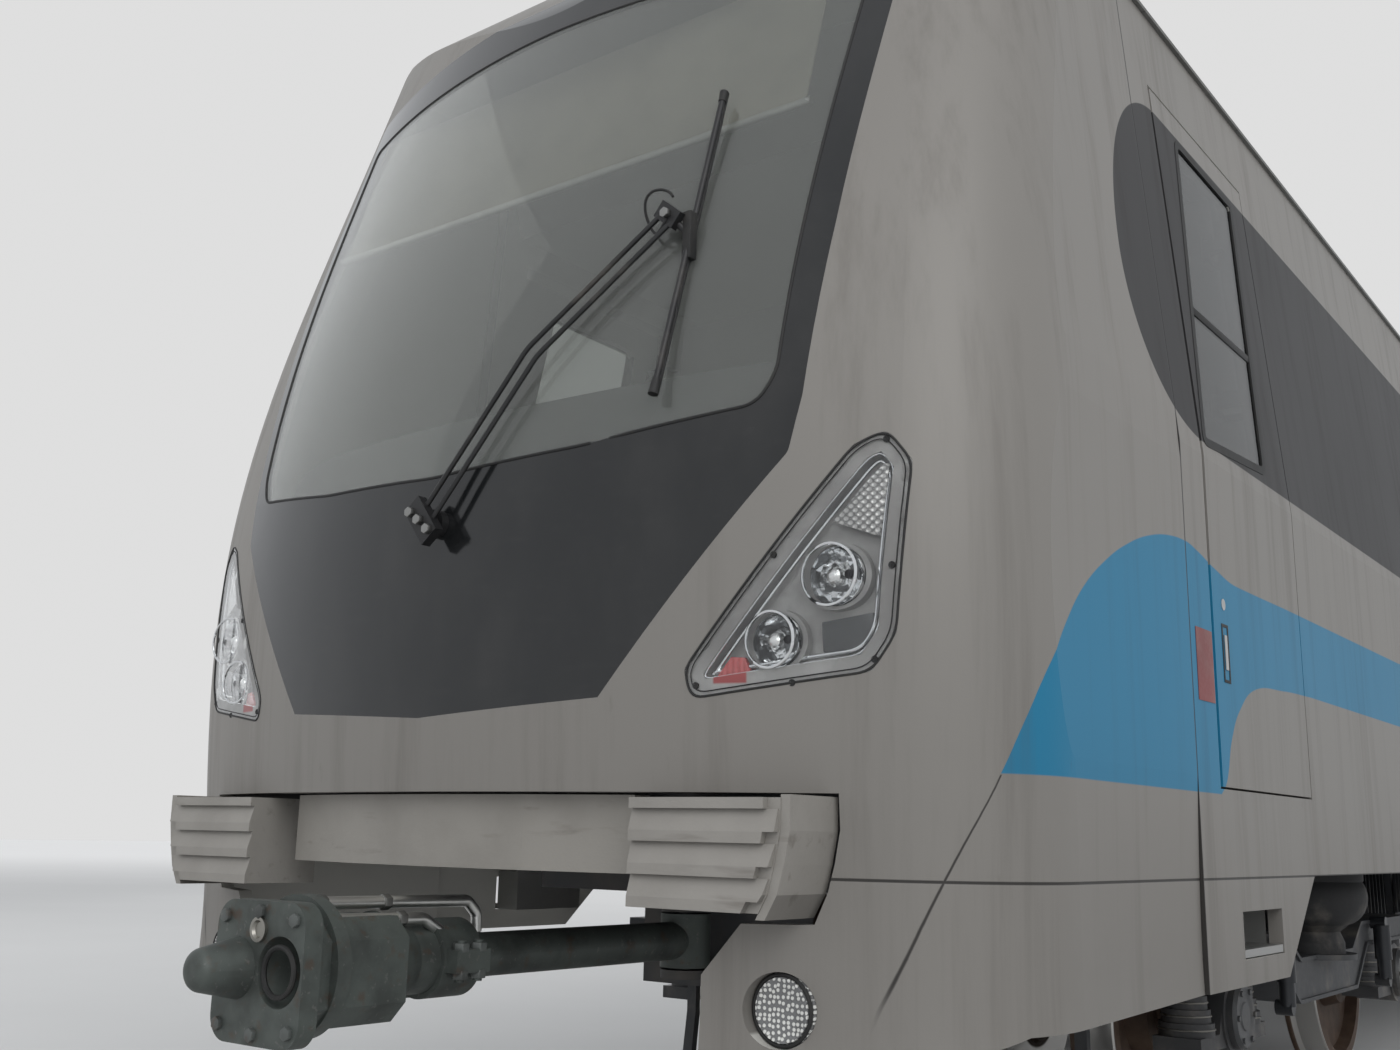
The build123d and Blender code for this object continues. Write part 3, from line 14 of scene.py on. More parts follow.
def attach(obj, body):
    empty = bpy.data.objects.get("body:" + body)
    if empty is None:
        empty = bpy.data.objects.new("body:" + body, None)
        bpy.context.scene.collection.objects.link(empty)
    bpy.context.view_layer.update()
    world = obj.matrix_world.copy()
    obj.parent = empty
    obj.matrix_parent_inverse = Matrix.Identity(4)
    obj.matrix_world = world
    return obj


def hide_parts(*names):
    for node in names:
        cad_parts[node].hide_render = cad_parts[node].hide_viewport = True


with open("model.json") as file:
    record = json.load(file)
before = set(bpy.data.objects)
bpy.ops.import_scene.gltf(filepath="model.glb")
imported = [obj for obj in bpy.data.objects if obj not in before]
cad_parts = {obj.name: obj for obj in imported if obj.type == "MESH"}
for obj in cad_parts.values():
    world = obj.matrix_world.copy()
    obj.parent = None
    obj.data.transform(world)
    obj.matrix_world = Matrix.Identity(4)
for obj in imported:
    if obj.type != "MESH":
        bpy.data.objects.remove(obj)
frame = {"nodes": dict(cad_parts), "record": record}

log = logging.getLogger("metro_car")

RAIL = 0.028
Point = tuple[float, float, float]
Colour = tuple[float, float, float]


class Signal:
    """A value that flows through a shader, written in Python arithmetic."""

    def __init__(self, graph: "Graph", socket: bpy.types.NodeSocket) -> None:
        """Wraps one output socket of a graph.

        Args:
            graph: The material's graph.
            socket: The output that carries the value.
        """
        self.graph = graph
        self.socket = socket

    def _math(self, operation: str, *values: "Signal | float") -> "Signal":
        """Adds one Math node on the given values."""
        return self.graph.node("ShaderNodeMath", {"operation": operation}, *values)

    def __add__(self, other: "Signal | float") -> "Signal":
        """Sum."""
        return self._math("ADD", self, other)

    __radd__ = __add__

    def __sub__(self, other: "Signal | float") -> "Signal":
        """Difference."""
        return self._math("SUBTRACT", self, other)

    def __rsub__(self, other: float) -> "Signal":
        """Difference from a number."""
        return self._math("SUBTRACT", other, self)

    def __mul__(self, other: "Signal | float") -> "Signal":
        """Product."""
        return self._math("MULTIPLY", self, other)

    __rmul__ = __mul__

    def __truediv__(self, other: "Signal | float") -> "Signal":
        """Quotient."""
        return self._math("DIVIDE", self, other)

    def __abs__(self) -> "Signal":
        """Absolute value."""
        return self._math("ABSOLUTE", self)

    def most(self, other: "Signal | float") -> "Signal":
        """Larger of the two."""
        return self._math("MAXIMUM", self, other)

    def least(self, other: "Signal | float") -> "Signal":
        """Smaller of the two."""
        return self._math("MINIMUM", self, other)

    def root(self) -> "Signal":
        """Square root of the value."""
        return self._math("SQRT", self)

    def wave(self) -> "Signal":
        """Sine of the value."""
        return self._math("SINE", self)

    def fraction(self) -> "Signal":
        """Part after the decimal point."""
        return self._math("FRACT", self)

    def rise(self, low: float, high: float) -> "Signal":
        """Smooth step from 0 at low to 1 at high.

        Args:
            low: Value at which the step starts.
            high: Value at which the step is complete.

        Returns:
            The step, between 0 and 1.
        """
        settings = {"interpolation_type": "SMOOTHSTEP"}
        return self.graph.node("ShaderNodeMapRange", settings, self, low, high, 0.0, 1.0)

    def within(self, low: float, high: float, soft: float) -> "Signal":
        """1 between low and high, with soft edges."""
        return self.rise(low - soft, low + soft) * (1 - self.rise(high - soft, high + soft))


class Graph:
    """One material's node tree, from its first node to its output."""

    def __init__(self, name: str) -> None:
        """Starts an empty material.

        Args:
            name: The material's name.
        """
        self.material = bpy.data.materials.new(name)
        self.material.use_nodes = True
        self.tree = self.material.node_tree
        self.tree.nodes.clear()

    def raw(self, kind: str, settings: dict | None = None, *values: object, **named: object) -> bpy.types.Node:
        """Adds a node, sets its settings first and its sockets after.

        Args:
            kind: Blender's node type.
            settings: Attributes of the node itself.
            values: Links or values of its inputs in order.
            named: Links or values of its inputs by name, with _ for a blank.

        Returns:
            The new node.
        """
        made = self.tree.nodes.new(kind)
        for key, value in (settings or {}).items():
            setattr(made, key, value)
        for key, value in [*enumerate(values), *((k.replace("_", " "), v) for k, v in named.items())]:
            if value is None:
                continue
            if isinstance(value, Signal):
                self.tree.links.new(value.socket, made.inputs[key])
            else:
                made.inputs[key].default_value = value
        return made

    def node(self, kind: str, settings: dict | None = None, *values: object, **named: object) -> Signal:
        """Adds a node as raw() does and returns its first live output."""
        made = self.raw(kind, settings, *values, **named)
        return Signal(self, next(o for o in made.outputs if o.enabled))

    def place(self) -> Signal:
        """Object coordinates in metres."""
        made = self.raw("ShaderNodeTexCoord")
        return Signal(self, made.outputs["Object"])

    def axes(self) -> tuple[Signal, Signal, Signal]:
        """Object coordinates as three numbers, the height counted from the rail top."""
        made = self.raw("ShaderNodeSeparateXYZ", None, self.place())
        x, y, z = (Signal(self, o) for o in made.outputs)
        return x, y, z - RAIL

    def outward(self) -> Signal:
        """Above 0 on the car's outer faces and below 0 on those that look inside."""
        x, y, z = self.axes()
        away = self.node("ShaderNodeCombineXYZ", None, x, (y + 8.6).least(0.0) + (y - 9.0).most(0.0), z - 2.2)
        made = self.raw("ShaderNodeTexCoord")
        facing = Signal(self, made.outputs["Normal"])
        made = self.raw("ShaderNodeVectorMath", {"operation": "DOT_PRODUCT"}, facing, away)
        return Signal(self, made.outputs["Value"])

    def downward(self) -> Signal:
        """1 on faces that look down and 0 on upright ones; the mask of the painted underside shade."""
        made = self.raw("ShaderNodeTexCoord")
        parts = self.raw("ShaderNodeSeparateXYZ", None, Signal(self, made.outputs["Normal"]))
        return (0 - Signal(self, parts.outputs[2])).rise(0.25, 0.8)

    def stretched(self, scale: Point) -> Signal:
        """Object coordinates scaled on each axis."""
        return self.node("ShaderNodeVectorMath", {"operation": "MULTIPLY"}, self.place(), scale)

    def noise(
        self, scale: float, detail: float = 3.0, stretch: Point = (1, 1, 1), rough: float = 0.55
    ) -> Signal:
        """Cloudy noise between 0 and 1.

        Args:
            scale: Features per metre.
            detail: Octaves.
            stretch: Scale of each axis before the noise.
            rough: How much the fine octaves count.

        Returns:
            The noise value.
        """
        return self.node(
            "ShaderNodeTexNoise",
            {"normalize": True},
            Vector=self.stretched(stretch),
            Scale=scale,
            Detail=detail,
            Roughness=rough,
        )

    def cells(self, scale: float, stretch: Point = (1, 1, 1), feature: str = "F1") -> Signal:
        """Distance to the nearest cell point of a Voronoi pattern.

        Args:
            scale: Cells to the metre.
            stretch: Scale along each axis.
            feature: Which distance is given.

        Returns:
            The distance.
        """
        spread = self.stretched(stretch)
        return self.node("ShaderNodeTexVoronoi", {"feature": feature}, Vector=spread, Scale=scale)

    def dots(self, across: Signal, along: Signal, scale: float, scatter: float = 0.0) -> Signal:
        """Distance to the nearest point of a flat grid.

        Args:
            across: First direction of the grid.
            along: Second direction of the grid.
            scale: Points per metre.
            scatter: How far points leave the grid, 0 to 1.

        Returns:
            The distance in grid steps.
        """
        flat = self.node("ShaderNodeCombineXYZ", {}, X=across, Y=along, Z=0.0)
        kind = {"feature": "F1", "voronoi_dimensions": "2D"}
        return self.node("ShaderNodeTexVoronoi", kind, Vector=flat, Scale=scale, Randomness=scatter)

    def patches(self, scale: float) -> Signal:
        """One random value for each cell of a Voronoi pattern."""
        cells = self.raw("ShaderNodeTexVoronoi", {"feature": "F1"}, Vector=self.place(), Scale=scale)
        return Signal(self, cells.outputs["Color"])

    def curve(self, along: Signal, points: list[tuple[float, float]]) -> Signal:
        """A drawn curve through a few points.

        Args:
            along: The value to look up.
            points: The curve's points, in rising order.

        Returns:
            The height of the curve there.
        """
        low, high = points[0][0], points[-1][0]
        floor = min(p[1] for p in points)
        span = max(p[1] for p in points) - floor or 1.0
        share = ((along - low) / (high - low)).most(0.0).least(1.0)
        made = self.raw("ShaderNodeFloatCurve", None, 1.0, share)
        line = made.mapping.curves[0]
        while len(line.points) < len(points):
            line.points.new(0.5, 0.5)
        for spot, (x, y) in zip(line.points, points):
            spot.location = ((x - low) / (high - low), (y - floor) / span)
            spot.handle_type = "AUTO_CLAMPED"
        made.mapping.update()
        return Signal(self, made.outputs[0]) * span + floor

    def mix(self, share: Signal | float, first: Signal | Colour, second: Signal | Colour) -> Signal:
        """Blends two colours.

        Args:
            share: 0 for the first, 1 for the second.
            first: Colour or link.
            second: Colour or link.

        Returns:
            The blended colour.
        """
        made = self.tree.nodes.new("ShaderNodeMix")
        made.data_type = "RGBA"
        for index, value in ((0, share), (6, first), (7, second)):
            if isinstance(value, Signal):
                self.tree.links.new(value.socket, made.inputs[index])
            else:
                made.inputs[index].default_value = value if index == 0 else (*value, 1.0)
        return Signal(self, made.outputs[2])

    def bump(self, height: Signal, depth: float, strength: float = 1.0) -> Signal:
        """Normal from a height in shares of depth metres."""
        return self.node("ShaderNodeBump", None, Strength=strength, Distance=depth, Height=height)

    def finish(self, **sockets: object) -> bpy.types.Material:
        """Adds the surface shader and the output.

        Args:
            sockets: Values or links of the shader's inputs by name, with _ for a blank.

        Returns:
            The finished material.
        """
        ready = {
            key: (*value, 1.0) if key.endswith("Color") and isinstance(value, tuple) else value
            for key, value in sockets.items()
        }
        shader = self.node("ShaderNodeBsdfPrincipled", None, **ready)
        self.raw("ShaderNodeOutputMaterial", None, shader)
        return self.material


class Finish:
    """A kind of surface. Each is made once and shared.

    Attributes:
        made: Materials already made, by the finish's own description.
    """

    made: dict[str, bpy.types.Material] = {}

    def paint(self, graph: Graph) -> bpy.types.Material:
        """Fills a graph; each kind of finish has its own way.

        Args:
            graph: Graph of the new material.

        Returns:
            The material.
        """
        raise NotImplementedError

    def material(self) -> bpy.types.Material:
        """The finish's material, made on first use."""
        key = repr(self)
        if key not in Finish.made:
            Finish.made[key] = self.paint(Graph(type(self).__name__.lower()))
        return Finish.made[key]


@dataclass(frozen=True)
class BodyPaint(Finish):
    """Silver-grey satin paint with the car's blue stripe, dark window band, seams, dirt and pale lining inside.

    Attributes:
        silver: Paint of the skin.
        blue: Paint of the stripe.
        band: Paint round the windows.
        lining: Wall panels inside.
        seam_z: Height of the long seam above the skirt.
        striped: False leaves the stripe, the band and the seams out.
    """

    silver: Colour = (0.228, 0.217, 0.201)
    blue: Colour = (0.014, 0.185, 0.33)
    band: Colour = (0.020, 0.019, 0.020)
    lining: Colour = (0.52, 0.51, 0.475)
    seam_z: float = 0.872
    striped: bool = True

    def stripe(self, graph: Graph, x: Signal, y: Signal, z: Signal) -> Signal:
        """Where the blue stripe lies: it rises from the front corner and steps up behind the cab door.

        Args:
            graph: Graph to add to.
            x: Across the car.
            y: Along the car.
            z: Height.

        Returns:
            1 on the stripe, 0 off it.
        """
        crest = [
            (-9.30, 1.075), (-9.245, 1.205), (-9.18, 1.322), (-9.10, 1.420), (-9.00, 1.508), (-8.88, 1.580),
            (-8.747, 1.641), (-8.576, 1.696), (-8.43, 1.722), (-8.318, 1.728), (-8.22, 1.716), (-8.10, 1.693),
            (-7.9, 1.669), (-7.4, 1.672),
        ]
        step = [
            (-8.14, 1.086), (-8.10, 1.11), (-8.028, 1.233), (-7.94, 1.32), (-7.79, 1.389), (-7.5, 1.412),
            (-7.2, 1.42),
        ]
        top, low = graph.curve(y, crest), graph.curve(y, step)
        shape = (top - z).rise(-0.002, 0.002) * (z - low).rise(-0.002, 0.002) * y.rise(-9.302, -9.298)
        cab_part = 1 - y.rise(-8.40, -8.36)
        return shape * abs(x).rise(1.20, 1.24) * cab_part.most(abs(x).rise(1.352, 1.357))

    def dark_band(self, graph: Graph, x: Signal, y: Signal, z: Signal) -> Signal:
        """Where the dark window band lies, with its leaf-shaped front end.

        Args:
            graph: Graph to add to; not used.
            x: Across the car.
            y: Along the car.
            z: Height.

        Returns:
            1 on the band, 0 off it.
        """
        along = ((-8.10 - y) / 0.489).most(0.0).least(1.0)
        swell = (1 - along * along).root()
        top, low = swell * 0.585 + 2.48, 2.48 - swell * 0.435
        shape = (top - z).rise(-0.002, 0.002) * (z - low).rise(-0.002, 0.002) * y.rise(-8.590, -8.588)
        return shape * abs(x).rise(1.18, 1.22)

    def lines(self, graph: Graph, x: Signal, y: Signal, z: Signal) -> Signal:
        """Dark seams between the panels.

        Args:
            graph: Graph to add to.
            x: Across the car.
            y: Along the car.
            z: Height.

        Returns:
            1 on a seam, 0 off it.
        """
        seam = z.within(self.seam_z - 0.003, self.seam_z + 0.003, 0.0012)
        joint = y.within(-8.3235, -8.3165, 0.0015)
        for place in (-5.745, -1.1, 0.2, 2.9, 4.2, 6.9):
            joint = joint.most(y.within(place - 0.0015, place + 0.0015, 0.001) * z.rise(0.9, 0.92) * 0.35)
        edge = [(0.40, -9.462), (0.652, -9.415), (0.876, -9.368), (1.075, -9.298), (1.09, -9.292)]
        slant = graph.curve(z, edge)
        cut = (y - slant).within(-0.0016, 0.0016, 0.001) * z.within(0.4, 1.083, 0.002)
        corner = cut * abs(x).rise(1.1, 1.15)
        return seam.most(joint).most(corner)

    def paint(self, graph: Graph) -> bpy.types.Material:
        """Fills the graph.

        Args:
            graph: Graph of the new material.

        Returns:
            The material.
        """
        x, y, z = graph.axes()
        parts = (self.stripe, self.dark_band, self.lines)
        stripe, band, line = (part(graph, x, y, z) if self.striped else 0.0 for part in parts)
        inside = (0 - graph.outward()).rise(0.25, 0.5)
        cloud = graph.noise(0.9, 4.0)
        streak = graph.noise(9.0, 5.0, (1.0, 1.0, 0.035), 0.7)
        fine = graph.noise(160.0, 2.0)
        rust = graph.noise(30.0, 3.0, (1, 1, 0.25)).rise(0.66, 0.80) * graph.noise(1.7, 2.0).rise(0.58, 0.70)
        dirt = streak.rise(0.46, 0.78) * 0.55 + (1 - z.rise(0.45, 1.35)) * 0.45 * cloud.rise(0.25, 0.7)
        paint = graph.mix(cloud.rise(0.3, 0.75) * 0.25, self.silver, (0.275, 0.255, 0.235))
        paint = graph.mix(stripe, paint, self.blue)
        paint = graph.mix(band, paint, self.band)
        paint = graph.mix(dirt * (0.50 - band * 0.34), paint, (0.085, 0.075, 0.064))
        paint = graph.mix(rust * 0.4, paint, (0.060, 0.040, 0.028))
        paint = graph.mix(line * 0.85, paint, (0.010, 0.009, 0.009))
        lining = graph.mix(cloud.rise(0.4, 0.7) * 0.3, self.lining, (0.44, 0.43, 0.40))
        paint = graph.mix(inside, paint, lining)
        rough = 0.44 + cloud * 0.10 + dirt * 0.18 + band * 0.04
        relief = graph.bump(fine * 0.12 - line, 0.0016, 0.6)
        return graph.finish(
            Base_Color=paint,
            Metallic=(1 - inside) * (1 - band) * 0.2,
            Roughness=rough,
            Normal=relief,
            Specular_IOR_Level=0.30,
            Coat_Weight=0.05,
            Coat_Roughness=0.2,
        )


@dataclass(frozen=True)
class GlossPanel(Finish):
    """Black gloss panel with faint dust and fine wiping scratches."""

    colour: Colour = (0.006, 0.007, 0.008)
    roughness: float = 0.10

    def paint(self, graph: Graph) -> bpy.types.Material:
        """Fills the graph.

        Args:
            graph: Graph of the new material.

        Returns:
            The material.
        """
        dust = graph.noise(3.0, 5.0, (1, 1, 0.5)).rise(0.42, 0.85)
        wiped = graph.noise(60.0, 3.0, (0.15, 1.0, 1.0)).rise(0.55, 0.8)
        shade = graph.mix(dust * 0.10 + wiped * 0.03, self.colour, (0.16, 0.15, 0.14))
        return graph.finish(
            Base_Color=shade, Roughness=self.roughness + dust * 0.16, Coat_Weight=0.2, Coat_Roughness=0.06
        )


@dataclass(frozen=True)
class Glass(Finish):
    """Clear or tinted pane with a thin film of dust and, where it is given, a grey haze.

    Attributes:
        tint: Colour of the pane.
        roughness: Roughness where it is clean.
        haze: Share of grey film over the pane.
        bend: Refractive index.
    """

    tint: Colour = (0.70, 0.74, 0.72)
    roughness: float = 0.0
    haze: float = 0.0
    bend: float = 1.46

    def paint(self, graph: Graph) -> bpy.types.Material:
        """Fills the graph.

        Args:
            graph: Graph of the new material.

        Returns:
            The material.
        """
        film = graph.noise(2.2, 4.0).rise(0.45, 0.9)
        shade = graph.mix(film * 0.12, self.tint, (0.42, 0.40, 0.37))
        return graph.finish(
            Base_Color=shade,
            Roughness=self.roughness + film * 0.03,
            IOR=self.bend,
            Transmission_Weight=1.0 - self.haze,
        )


@dataclass(frozen=True)
class Plain(Finish):
    """Painted, moulded or bare surface with colour clouds, dust and grain.

    Attributes:
        colour: Main colour.
        roughness: Mean roughness.
        metallic: 0 for paint or plastic, 1 for bare metal.
        grain: Size of the surface grain, per metre.
        dust: Share of pale dust on it.
        depth: Height of the grain in metres.
        clouds: How much darker its clouds are.
    """

    colour: Colour = (0.2, 0.2, 0.2)
    roughness: float = 0.5
    metallic: float = 0.0
    grain: float = 60.0
    dust: float = 0.2
    depth: float = 0.0006
    clouds: float = 0.28

    def paint(self, graph: Graph) -> bpy.types.Material:
        """Fills the graph.

        Args:
            graph: Graph of the new material.

        Returns:
            The material.
        """
        cloud = graph.noise(2.5, 5.0)
        grit = graph.noise(self.grain, 4.0)
        dark = tuple(c * (1 - self.clouds) for c in self.colour)
        shade = graph.mix(cloud.rise(0.35, 0.7), self.colour, dark)
        shade = graph.mix(graph.noise(6.0, 6.0).rise(0.5, 0.8) * self.dust, shade, (0.23, 0.205, 0.175))
        return graph.finish(
            Base_Color=shade,
            Metallic=self.metallic,
            Roughness=self.roughness + grit * 0.16 - 0.08,
            Normal=graph.bump(grit, self.depth, 0.5),
        )


@dataclass(frozen=True)
class LampTray(Finish):
    """Moulded headlamp tray: grey flange under the lens edge, silver-white pocket inside.

    Attributes:
        flange: Edge under the lens.
        pocket: Inside of the tray.
        marker: Red reflector in the lower corner.
    """

    flange: Colour = (0.33, 0.32, 0.31)
    pocket: Colour = (0.62, 0.615, 0.60)
    marker: Colour = (0.50, 0.10, 0.10)

    def paint(self, graph: Graph) -> bpy.types.Material:
        """Fills the graph.

        Args:
            graph: Graph of the new material.

        Returns:
            The material.
        """
        x, _, z = graph.axes()
        lean = graph.noise(14.0, 3.0, (1, 0.3, 1))
        low = 1 - z.rise(1.25, 1.36)
        shade = graph.mix(low * 0.7 + lean.rise(0.45, 0.7) * 0.3, self.flange, self.pocket)
        corner = abs(x).within(0.800, 0.872, 0.003) * z.within(1.266, 1.300, 0.003)
        shade = graph.mix(corner, shade, self.marker)
        return graph.finish(
            Base_Color=shade,
            Metallic=0.25,
            Roughness=0.26 + lean * 0.2,
            Normal=graph.bump(graph.noise(40.0, 2.0), 0.0015, 0.3),
        )


@dataclass(frozen=True)
class Chrome(Finish):
    """Bright plated metal with a little dust."""

    colour: Colour = (0.72, 0.73, 0.74)
    roughness: float = 0.06

    def paint(self, graph: Graph) -> bpy.types.Material:
        """Fills the graph.

        Args:
            graph: Graph of the new material.

        Returns:
            The material.
        """
        dust = graph.noise(20.0, 4.0).rise(0.5, 0.8)
        shade = graph.mix(dust * 0.2, self.colour, (0.38, 0.37, 0.36))
        return graph.finish(Base_Color=shade, Metallic=1.0, Roughness=self.roughness + dust * 0.12)


@dataclass(frozen=True)
class FacetedChrome(Finish):
    """Plated lamp bowl with painted highlights and painted shade on random facets.

    Attributes:
        bright: Painted highlight colour of the facets shown as lit.
        dark: Painted shade colour of the other facets.
        facets: Facets to the metre.
    """

    bright: Colour = (0.86, 0.87, 0.88)
    dark: Colour = (0.13, 0.135, 0.14)
    facets: float = 44.0

    def paint(self, graph: Graph) -> bpy.types.Material:
        """Fills the graph.

        Args:
            graph: Graph of the new material.

        Returns:
            The material.
        """
        # Painted highlights and shade: random cells take the bright or the dark colour, whichever way they
        # face.
        light = graph.patches(self.facets).rise(0.36, 0.60)
        return graph.finish(
            Base_Color=graph.mix(light, self.dark, self.bright),
            Metallic=1.0,
            Roughness=0.07 + graph.noise(30.0, 3.0) * 0.06,
        )


@dataclass(frozen=True)
class Reflex(Finish):
    """Honeycomb retroreflector seen through a clear face."""

    colour: Colour = (0.20, 0.195, 0.19)

    def paint(self, graph: Graph) -> bpy.types.Material:
        """Fills the graph.

        Args:
            graph: Graph of the new material.

        Returns:
            The material.
        """
        x, _, z = graph.axes()
        cell = graph.dots(x + z, x - z, 56.0)
        shade = graph.mix(cell.rise(0.25, 0.5), (0.60, 0.59, 0.57), self.colour)
        return graph.finish(
            Base_Color=shade, Metallic=0.5, Roughness=0.2, Normal=graph.bump(cell, 0.004, 0.9), Coat_Weight=0.4
        )


@dataclass(frozen=True)
class SignalLens(Finish):
    """Coloured lamp lens with vertical ribs and painted highlights along them.

    Attributes:
        colour: Lens colour.
        ribs: Radians of rib pattern to the metre.
    """

    colour: Colour = (0.42, 0.03, 0.035)
    ribs: float = 900.0

    def paint(self, graph: Graph) -> bpy.types.Material:
        """Fills the graph.

        Args:
            graph: Graph of the new material.

        Returns:
            The material.
        """
        x, _, _ = graph.axes()
        rib = (x * self.ribs).wave() * 0.5 + 0.5
        # Painted highlights: a paler tint in stripes along the ribs.
        pale = tuple(min(1.0, c * 1.6 + 0.10) for c in self.colour)
        shade = graph.mix(rib * 0.4, self.colour, pale)
        return graph.finish(
            Base_Color=shade, Roughness=0.18, Normal=graph.bump(rib, 0.001, 0.5), Coat_Weight=0.5
        )


@dataclass(frozen=True)
class LedFace(Finish):
    """Round lamp face set with small pale lenses."""

    def paint(self, graph: Graph) -> bpy.types.Material:
        """Fills the graph.

        Args:
            graph: Graph of the new material.

        Returns:
            The material.
        """
        x, _, z = graph.axes()
        bead = 1 - graph.dots(x, z, 88.0, 0.45).rise(0.26, 0.44)
        shade = graph.mix(bead, (0.17, 0.172, 0.175), (0.78, 0.78, 0.75))
        return graph.finish(
            Base_Color=shade, Roughness=0.2, Normal=graph.bump(bead, 0.004, 0.8), Coat_Weight=0.3
        )


@dataclass(frozen=True)
class ScuffedPaint(Finish):
    """Grey paint of the anti-climbers and apron, scraped in places, with painted shade on its undersides."""

    colour: Colour = (0.30, 0.285, 0.262)

    def paint(self, graph: Graph) -> bpy.types.Material:
        """Fills the graph.

        Args:
            graph: Graph of the new material.

        Returns:
            The material.
        """
        cloud = graph.noise(5.0, 5.0)
        scrape = graph.noise(24.0, 4.0, (0.12, 1.0, 1.0)).rise(0.58, 0.75)
        shade = graph.mix(cloud.rise(0.35, 0.75) * 0.4, self.colour, (0.19, 0.178, 0.160))
        shade = graph.mix(scrape * 0.45, shade, (0.10, 0.085, 0.070))
        # Painted shade: faces that look down are darkened towards a near-black.
        shade = graph.mix(graph.downward() * 0.85, shade, (0.050, 0.046, 0.041))
        edge = graph.noise(90.0, 3.0)
        return graph.finish(
            Base_Color=shade,
            Metallic=0.15,
            Roughness=0.5 + cloud * 0.12,
            Normal=graph.bump(edge - scrape * 0.4, 0.0012, 0.5),
        )


@dataclass(frozen=True)
class GreasyIron(Finish):
    """Cast iron under worn green-grey paint, with oily clouds, rust patches and bare flecks."""

    colour: Colour = (0.085, 0.098, 0.090)

    def paint(self, graph: Graph) -> bpy.types.Material:
        """Fills the graph.

        Args:
            graph: Graph of the new material.

        Returns:
            The material.
        """
        cloud = graph.noise(9.0, 5.0)
        rust = graph.noise(26.0, 5.0).rise(0.56, 0.72)
        worn = graph.noise(70.0, 3.0).rise(0.62, 0.72)
        shade = graph.mix(cloud.rise(0.4, 0.7) * 0.6, self.colour, (0.030, 0.032, 0.030))
        shade = graph.mix(rust * 0.5, shade, (0.085, 0.045, 0.025))
        shade = graph.mix(worn * 0.5, shade, (0.22, 0.22, 0.21))
        return graph.finish(
            Base_Color=shade,
            Metallic=0.3 + worn * 0.5,
            Roughness=0.42 + cloud * 0.2,
            Normal=graph.bump(cloud, 0.003, 0.5),
        )


@dataclass(frozen=True)
class RolledWheel(Finish):
    """Wheelset steel: bright rolled tread and disc faces, rusty web and axle.

    Attributes:
        axle_y: Where the axle lies along the car.
        axle_z: Its height above the rail.
    """

    axle_y: float = 0.0
    axle_z: float = 0.42

    def paint(self, graph: Graph) -> bpy.types.Material:
        """Fills the graph.

        Args:
            graph: Graph of the new material.

        Returns:
            The material.
        """
        x, y, z = graph.axes()
        dy, dz = y - self.axle_y, z - self.axle_z
        radius = (dy * dy + dz * dz).root()
        tread = radius.rise(0.404, 0.412) * (1 - radius.rise(0.440, 0.444))
        disc = (1 - radius.rise(0.289, 0.292)) * radius.rise(0.16, 0.17) * (
            1 - abs(abs(x) - 0.33).rise(0.05, 0.055)
        )
        bright = tread.most(disc)
        rings = (radius * 1500.0).wave() * 0.5 + 0.5
        rust = graph.noise(16.0, 6.0)
        shade = graph.mix(rust.rise(0.35, 0.7), (0.075, 0.045, 0.030), (0.115, 0.075, 0.050))
        shade = graph.mix(graph.noise(4.0, 4.0).rise(0.5, 0.8) * 0.5, shade, (0.035, 0.032, 0.030))
        shade = graph.mix(bright, shade, (0.50, 0.49, 0.47))
        return graph.finish(
            Base_Color=shade,
            Metallic=bright * 0.75 + 0.15,
            Roughness=0.68 - bright * 0.38,
            Normal=graph.bump(rust * 0.6 + rings * bright * 0.2, 0.0016, 0.5),
        )


@dataclass(frozen=True)
class RoofPaint(Finish):
    """Weathered grey roof above the gutters and a pale ceiling below them."""

    colour: Colour = (0.175, 0.178, 0.172)
    ceiling: Colour = (0.60, 0.60, 0.57)

    def paint(self, graph: Graph) -> bpy.types.Material:
        """Fills the graph.

        Args:
            graph: Graph of the new material.

        Returns:
            The material.
        """
        _, y, z = graph.axes()
        below = (1 - z.rise(3.405, 3.415)) * (0 - graph.outward()).rise(0.02, 0.2)
        soot = graph.noise(1.6, 6.0, (1.0, 0.35, 1.0)).rise(0.4, 0.75)
        run = graph.noise(12.0, 4.0, (0.1, 1.0, 1.0)).rise(0.5, 0.8)
        shade = graph.mix(soot * 0.6, self.colour, (0.075, 0.070, 0.062))
        shade = graph.mix(run * 0.3, shade, (0.25, 0.24, 0.22))
        rib = (y / 0.9).fraction().within(0.004, 0.012, 0.003) * (1 - below)
        perforated = graph.cells(110.0).rise(0.15, 0.2)
        top = graph.mix(perforated * 0.12, (0.42, 0.42, 0.40), self.ceiling)
        shade = graph.mix(rib * 0.6, shade, (0.05, 0.048, 0.045))
        shade = graph.mix(below, shade, top)
        return graph.finish(
            Base_Color=shade, Roughness=0.62 - below * 0.12, Normal=graph.bump(soot - rib, 0.003, 0.35)
        )


